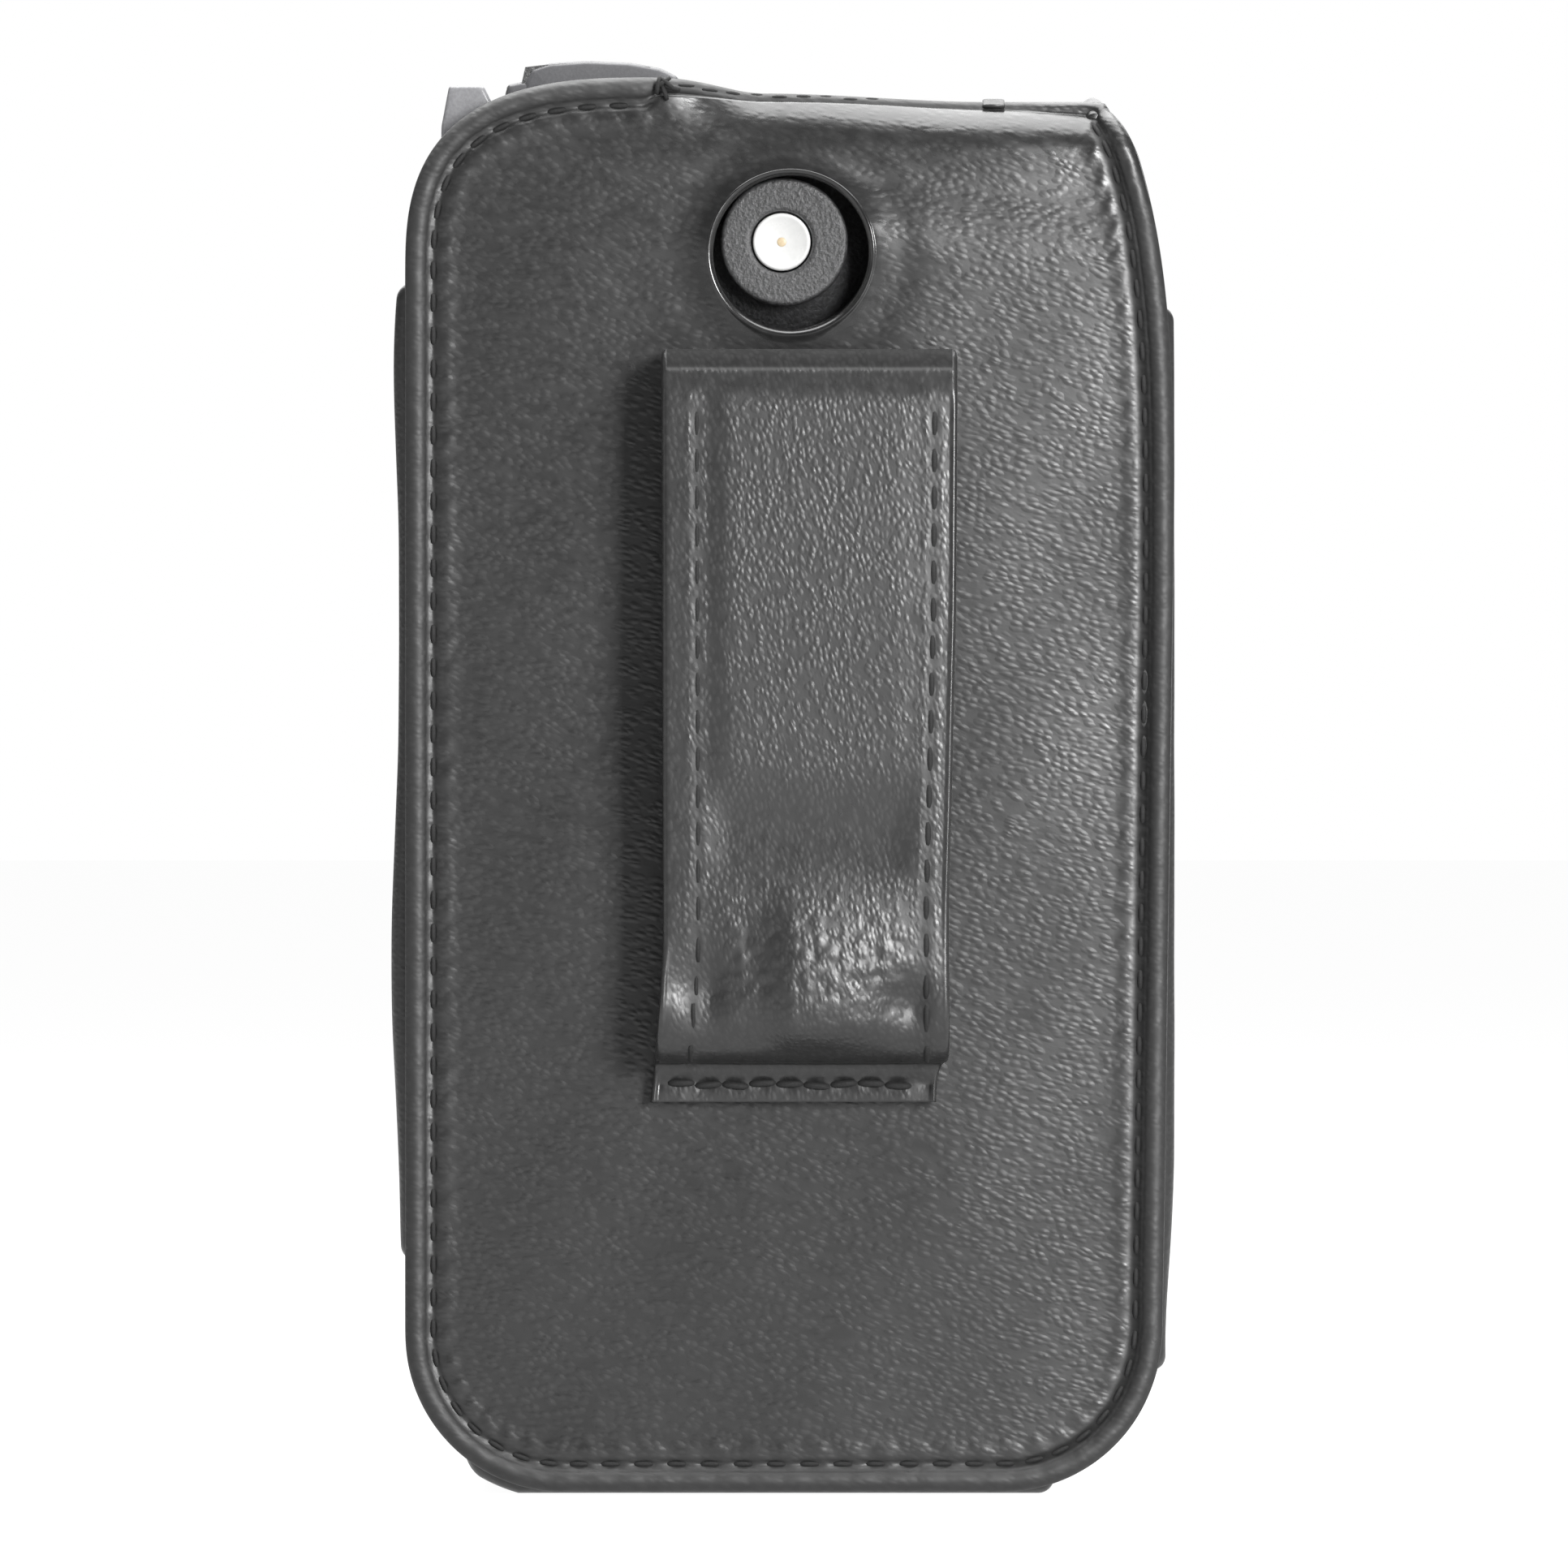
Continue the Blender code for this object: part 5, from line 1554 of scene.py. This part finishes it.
@dataclass
class ClosingStrap:
    """Leather strap that runs on from the lip, over the top and down the front."""

    bend: float = 4.5 * MM
    drop: float = 31.0 * MM
    lining: float = 1.0 * MM
    root: float = 0.9
    hinge_y: float = -8.328 * MM
    hinge_z: float = 114.0 * MM
    end: float = 1.0 * MM
    ditch: float = 0.34 * MM
    puff: float = 0.07 * MM
    pull: float = 0.18 * MM
    root_sunk: float = 0.16 * MM
    root_lift: float = 0.05 * MM
    thread: float = 0.21 * MM
    thread_sunk: float = 0.28 * MM
    stitch: float = 1.85 * MM
    stations: int = 240

    @property
    def front(self) -> float:
        """Depth of the strap's outer face down the front."""
        return SIZES.front + 2 * SIZES.gap + self.lining + SIZES.leather

    def path(self) -> Array:
        """Outer face as (depth, height): the lip's arc, a straight run, a quarter circle and the drop.

        Returns:
            Points along the face.
        """
        radius, bend = SIZES.lip_radius, self.bend
        arc, turn = np.linspace(self.root, math.pi / 2, 24), quarter_turn(30)
        crest = SIZES.lip_start + radius
        over = joined(SIZES.back + radius - radius * np.cos(arc), SIZES.lip_start + radius * np.sin(arc))
        down = joined(self.front - bend + bend * np.sin(turn), crest - bend + bend * np.cos(turn))
        return np.vstack([over, down, [self.front, crest - self.drop]])

    def section(self) -> Array:
        """Closed section: flat leather with a ditch, the rolled right edge, and a half circle at the left.

        Returns:
            Points as (place across, height over the face).
        """
        right, roll, half = SIZES.strap_right, SIZES.roll, SIZES.leather / 2
        plain = np.linspace(SIZES.strap_left + 0.7 * MM, right - 2 * roll - 0.1 * MM, 40)
        away = plain - (right - SIZES.seam)
        ditch = self.puff * bell(away, -1.2 * MM, 0.8 * MM) - self.ditch * bell(away, 0.0, 0.34 * MM)
        turn = np.radians(np.linspace(158.0, -88.0, 18))
        rolled = joined(right - roll + roll * np.cos(turn), roll - SIZES.leather + roll * np.sin(turn))
        turn = np.radians(np.linspace(-90.0, -270.0, 9))[:-1]
        left = joined(SIZES.strap_left + half + half * np.cos(turn), -half + half * np.sin(turn))
        return np.vstack([joined(plain, ditch), rolled, left])

    def settled(self, panel: SewnPanel, along: Array, x: Array | float) -> Array:
        """Height that lays the strap's root on the lip.

        The root rises out of the lip over its first millimetre and takes the lip's own
        relief, which a smooth step of the length fades out past the fold.

        Args:
            panel: the back panel, whose lip carries the root.
            along: lengths along the strap.
            x: places across.

        Returns:
            Height over the plain strap.
        """
        along, x = np.broadcast_arrays(along, x)
        run = SIZES.lip_start + SIZES.lip_radius * self.root + along
        fade = 1 - smooth_step(along, 2.6 * MM, 9 * MM)
        rise = -self.root_sunk * (1 - smooth_step(along, 0.0, 1.2 * MM))
        return rise + fade * (self.root_lift + panel.relief(x, np.minimum(run, SIZES.top - 1.6 * MM)))

    def build(self, panel: SewnPanel) -> None:
        """Make the strap, its stitches, its lining, and blend them over the fold at the lip.

        Args:
            panel: the back panel, whose lip carries the strap's root.
        """
        path, along = even_steps(self.path(), self.stations, False)
        ahead, left = turned_path(path)
        x, level = self.section().T
        pull = self.pull * bell(SIZES.strap_right - x, SIZES.seam, 0.45 * MM) * (level > -0.9 * MM)
        lift = level - SIZES.beat(along)[:, None] * pull + self.settled(panel, along[:, None], x)
        piece = swept("closing_strap_leather", carried(path, left, x, lift))
        self.fold(piece)
        settle(piece, Finish.PANEL, Body.STRAP, "grain_leather", "closing_strap", "strap_roll")
        last = along[-1] - self.end
        at = np.arange(1.2 * MM, last, SIZES.stitch) // SIZES.stitch * SIZES.stitch + SIZES.stitch
        at = at[at < last]
        seam = SIZES.strap_right - SIZES.seam
        line = carried(path, left, seam, self.settled(panel, along, seam)[:, None] - self.thread_sunk)[:, 0]
        rows = (read_at(at, along, row) for row in (line, joined(0.0, *ahead.T), joined(0.0, *left.T)))
        row = stitch_mesh("strap_stitches", *rows, self.stitch, self.thread)
        self.fold(row)
        settle(row, Finish.THREAD, Body.STRAP, "black_thread", "strap_thread")
        self.build_lining(path, left)

    def build_lining(self, path: Array, left: Array) -> None:
        """Make the suede lining: a thin rounded section carried along the strap's inside.

        Args:
            path: outer face of the strap.
            left: directions square to it.
        """
        keep = path[:, 0] > SIZES.back + SIZES.lip_radius
        turn, half = full_turn(48), (SIZES.strap_width - SIZES.gap) / 2
        x = SIZES.strap_left + half + half * squarish(np.cos(turn), 0.2)
        depth = SIZES.leather + SIZES.gap + self.lining / 2
        lift = -depth + 0.5 * self.lining * squarish(np.sin(turn), 0.6)
        piece = swept("strap_suede", carried(path[keep], left[keep], x, lift))
        settle(piece, Finish.SUEDE, Body.STRAP, "suede_lining", "strap_lining")

    def fold(self, piece: Piece) -> None:
        """Let the leather bend between the case and the strap over a short fold at the hinge.

        Args:
            piece: the strap's leather or its stitches.
        """
        x = SIZES.strap_right - SIZES.strap_width / 2
        start, end = ((x, self.hinge_y + shift, self.hinge_z) for shift in (-0.5 * MM, 2.2 * MM))
        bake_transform(piece, Body.CASE.value, Body.STRAP.value, start, end)


@dataclass
class InnerShellTrim:
    """What shows of the moulded shell: its boss in the port, the button and its spring, its crown and its post."""

    boss_x: float = -0.65 * MM
    boss_z: float = 102.05 * MM
    boss_radius: float = 5.2 * MM
    boss_face: float = -10.9 * MM
    boss_bead: float = 0.35 * MM
    boss_aside: float = 0.2 * MM
    flange: float = 7.1 * MM
    button: float = 2.35 * MM
    button_bead: float = 0.22 * MM
    dish: float = 0.42 * MM
    stem: float = 1.2 * MM
    pip: float = 0.38 * MM
    cover: float = 0.15 * MM
    wire: float = 0.14 * MM
    spring_near: float = -9.55 * MM
    spring_far: float = -8.65 * MM
    crown: Marks = (
        (-21.6, 107.0), (-8.9, 107.0), (-8.7, 114.6), (-9.3, 115.6), (-10.6, 116.25), (-13.0, 116.7),
        (-16.5, 116.85), (-19.6, 116.65), (-21.0, 116.2), (-21.6, 115.2),
    )
    ledge: Marks = (
        (-23.1, 107.0), (-19.6, 107.0), (-19.6, 115.1), (-22.0, 115.1), (-22.9, 114.9), (-23.1, 114.2),
    )
    post: Marks = (
        (-28.5, 98.8), (-24.2, 98.8), (-24.2, 113.0), (-24.65, 113.9), (-25.1, 114.8), (-27.7, 114.8), (-28.3, 111.6),
    )

    def turned(self, radii: Array, depths: Array, sides: int, aside: Array | float = 0.0) -> Array:
        """Turn a radius and depth profile about the boss's axis.

        Args:
            radii: distances from the axis.
            depths: places along the axis.
            sides: number of points round.
            aside: shift of each ring across.

        Returns:
            Rings of points.
        """
        turn, reach = full_turn(sides), radii[:, None]
        x = self.boss_x + aside + reach * np.cos(turn)
        return joined(x, depths[:, None], self.boss_z + reach * np.sin(turn))

    def build_boss(self) -> None:
        """Make the boss as a turned ring: grained face, rounded rim, bore for the button and a low flange."""
        turn, bead, outer, sides = quarter_turn(6)[1:], self.boss_bead, self.boss_radius, 128
        inner, shoulder = self.button + 0.12 * MM, self.button + 0.52 * MM
        face, seat = self.boss_face - self.cover / 3, SIZES.shell_back - 0.03 * MM
        radii = np.concatenate([[inner, inner + 0.12 * MM], np.linspace(shoulder, outer - bead, 10),
                                outer - bead + bead * np.sin(turn), [outer, self.flange, self.flange, inner]])
        depths = np.concatenate([[face + 0.2 * MM, face + 0.05 * MM], np.full(10, face),
                                 face + bead * (1 - np.cos(turn)), [seat - 0.2 * MM, seat - 0.2 * MM, seat, seat]])
        aside = self.boss_aside * smooth_step(radii[:, None], shoulder, outer - bead)
        points = self.turned(radii, depths, sides, aside)
        piece = mesh_object("port_boss_face", points, grid_faces(len(radii), sides, True))
        settle(piece, Finish.PLASTIC, Body.CASE, "moulded_plastic")

    def build_button(self) -> None:
        """Make the dished white button with its tan pip, both turned about the boss's axis."""
        share, turn, bead, sides = np.linspace(0.0, 1.0, 16), quarter_turn(6), self.button_bead, 96
        rim = self.button - bead
        radii = np.concatenate([rim * share, rim + bead * np.sin(turn)[1:], [self.button, self.stem, self.stem, 0.0]])
        depths = np.concatenate([self.dish * (1 - share**2.4), bead * (1 - np.cos(turn))[1:],
                                 np.array([1.0, 1.0, 4.7, 4.7]) * MM])
        piece = domed("white_button", self.turned(radii, self.boss_face + depths - 0.1 * MM, sides))
        settle(piece, Finish.BUTTON, Body.BUTTON, "white_plastic", "call_button")
        radii = np.concatenate([self.pip * np.sin(turn), [self.pip, 0.0]])
        depths = np.concatenate([0.06 * MM * (1 - np.cos(turn)), [0.3 * MM, 0.3 * MM]])
        dot = domed("button_pip", self.turned(radii, self.boss_face + depths + 0.25 * MM, sides))
        settle(dot, Finish.PIP, Body.BUTTON, "white_plastic")

    def build_spring(self) -> None:
        """Make the return spring as a cone of wire, so that its coils nest as the button goes in."""
        turn, ring = np.linspace(0.0, 2 * math.tau, 61)[:, None], full_turn(10)
        share = turn / turn[-1]
        radius = 1.55 * MM + 0.6 * MM * share - self.wire * np.cos(ring)
        depth = self.spring_near + (self.spring_far - self.spring_near) * share + self.wire * np.sin(ring)
        points = joined(self.boss_x + radius * np.cos(turn), depth, self.boss_z + radius * np.sin(turn))
        piece = swept("button_coil", points)
        start = (self.boss_x, self.spring_far - self.wire, self.boss_z)
        end = (self.boss_x, self.spring_near + self.wire, self.boss_z)
        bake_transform(piece, Body.CASE.value, Body.BUTTON.value, start, end)
        settle(piece, Finish.STEEL, Body.CASE, "plated_steel", "button_spring")

    def build_cover(self, name: str, marks: Marks, near: float, far: float, edge: float, finish: Finish) -> None:
        """Make a flat moulded cover, its outline grown by the cover's thickness square to itself.

        Args:
            name: piece name.
            marks: corners across and up, in millimetres.
            near: lower depth.
            far: upper depth.
            edge: rounding at the edge.
            finish: its real material.
        """
        line, _ = even_steps(np.array(marks) * MM, 400, True)
        piece = slab(name, line - inward_normals(line) * self.cover, near, far, edge)
        settle(piece, finish, Body.CASE, "moulded_plastic")

    def build(self) -> None:
        """Make all that shows of the shell."""
        self.build_boss()
        self.build_button()
        self.build_spring()
        near, far, step = SIZES.shell_back - self.cover, SIZES.shell_inside + self.cover, 0.07 * MM
        self.build_cover("crown_cover", self.crown, near, far, 0.5 * MM, Finish.SATIN)
        self.build_cover("crown_ledge", self.ledge, near + step, far - step, 0.4 * MM, Finish.SATIN)
        far = SIZES.shell_back + 3 * MM + self.cover
        self.build_cover("post_cover", self.post, near, far, 0.35 * MM, Finish.PALE_SATIN)


@dataclass
class Linings:
    """Suede and felt inside the pocket, and the finishes of the pieces that keep their form."""

    shell_half: float = 29.8 * MM
    floor: float = 1.5 * MM
    corner: float = 11.6 * MM
    near: float = 8.0 * MM
    far: float = 8.8 * MM

    def build(self) -> None:
        """Make the front lining and the floor pad."""
        feet = foot_arcs(self.shell_half, self.corner, self.floor, 20)
        corners = np.vstack([[-self.shell_half, SIZES.front_top], feet, [self.shell_half, SIZES.front_top]])
        piece = slab("front_suede", corners, self.near, self.far, 0.3 * MM)
        settle(piece, Finish.SUEDE, Body.CASE, "suede_lining", "front_lining")
        low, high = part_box("floor_pad")
        box = np.array([[low[0], low[1]], [high[0], low[1]], [high[0], high[1]], [low[0], high[1]]])
        pad = slab("floor_felt", box, low[2], high[2], 0.35 * MM, Plane.LEVEL)
        settle(pad, Finish.FELT, Body.CASE, "felt", "floor_pad")

    @staticmethod
    def dress_nodes(nodes: dict[str, Piece]) -> None:
        """Give each node that keeps its own form its real finish.

        Args:
            nodes: objects of the frame by name.
        """
        finishes = {
            Finish.PLASTIC: ("inner_shell", "port_former_ring"),
            Finish.BOARD: ("back_board", "front_board"),
            Finish.STEEL: ("front_keeper", "strap_magnet", "button_clip"),
        }
        for finish, names in finishes.items():
            for name in names:
                dress(nodes[name], finish)
                LOG.info("%s: %s", name, finish.value.name)


@dataclass
class Studio:
    """Pale floor, soft boxes and a camera straight on the back of the case."""

    distance: float = 0.72
    frame_mm: float = 127.5
    aim_x: float = -0.46 * MM
    aim_z: float = 57.9 * MM
    sensor: float = 36.0
    floor_radius: float = 6.0
    floor_glow: float = 0.97
    fill: float = 0.05

    def build(self) -> None:
        """Make the floor, the light and the camera."""
        self.build_floor()
        self.build_world()
        case = (0.0, 0.0, 0.06)
        self.add_box("overhead_box", (0.0, 0.06, 0.62), (0.0, 0.06, 0.0), (0.7, 0.72), 15.5)
        self.add_box("right_box", (0.385, -0.71, 0.24), case, (0.2, 0.3), 12.4)
        self.add_box("left_box", (-0.7, -0.35, 0.2), case, (0.3, 0.6), 0.3)
        self.add_box("rear_box", (0.0, 0.6, 0.4), case, (0.8, 0.5), 3.0)
        self.build_camera()

    def build_floor(self) -> None:
        """Make a round, flat-shaded pale floor as rings about the origin."""
        turn = full_turn(64)
        radii = np.linspace(0.0, self.floor_radius, 12)[1:]
        points = radii[:, None, None] * joined(np.cos(turn), np.sin(turn), 0.0)
        faces = grid_faces(len(radii), len(turn)) + [list(range(len(turn)))]
        data = bpy.data.meshes.new("pale_floor")
        data.from_pydata(points.reshape(-1, 3).tolist(), [], faces)
        # Matt white paper: an even pale ground that shows only a soft shadow
        made, tree, shader = new_material("matt_white_paper")
        glow = {"Emission Color": WHITE, "Emission Strength": self.floor_glow}
        fill_inputs(tree, shader, {"Base Color": srgb("#404040"), "Roughness": 0.9} | glow)
        data.materials.append(made)
        linked("pale_floor", data)

    def build_world(self) -> None:
        """Light the world softly, and show it white behind the object."""
        world = bpy.data.worlds.new("white_studio")
        world.use_nodes = True
        tree = world.node_tree
        tree.nodes.clear()
        seen = feed(tree, "LightPath", output="Is Camera Ray")
        soft, plain = (feed(tree, "Background", {"Color": WHITE, "Strength": power}) for power in (self.fill, 1.0))
        add_node(tree, "OutputWorld", {"Surface": feed(tree, "MixShader", {0: seen, 1: soft, 2: plain})})
        bpy.context.scene.world = world

    @staticmethod
    def add_box(name: str, place: Point, target: Point, size: tuple[float, float], power: float) -> None:
        """Hang a soft box at a place, facing a target.

        Args:
            name: name of the light.
            place: where it hangs.
            target: point that it faces.
            size: width and height in metres.
            power: power in watts.
        """
        data = bpy.data.lights.new(name, "AREA")
        data.shape = "RECTANGLE"
        data.size, data.size_y = size
        data.energy = power
        item = linked(name, data)
        item.location = place
        item.rotation_euler = (Vector(target) - Vector(place)).to_track_quat("-Z", "Y").to_euler()

    def build_camera(self) -> None:
        """Stand the camera square to the back, with a lens that frames it as photographed."""
        data = bpy.data.cameras.new("camera")
        data.sensor_width = self.sensor
        data.lens = self.sensor * self.distance / (self.frame_mm * MM)
        item = linked("camera", data)
        item.location = (self.aim_x, SIZES.back - self.distance, self.aim_z)
        item.rotation_euler = (math.pi / 2, 0.0, 0.0)
        bpy.context.scene.camera = item


def main() -> None:
    """Load the frame, build every sub-assembly in order, and set the view transform to Standard."""
    logging.basicConfig(level=logging.INFO, format="%(name)s %(message)s")
    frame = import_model()
    Studio().build()
    shell = Shell()
    back_panel = shell.build_back()
    shell.build_front()
    Gussets().build()
    BeltLoop().build()
    ClosingStrap().build(back_panel)
    InnerShellTrim().build()
    Linings().build()
    Linings.dress_nodes(frame["nodes"])
    bpy.context.scene.view_settings.view_transform = "Standard"


if __name__ == "__main__":
    main()
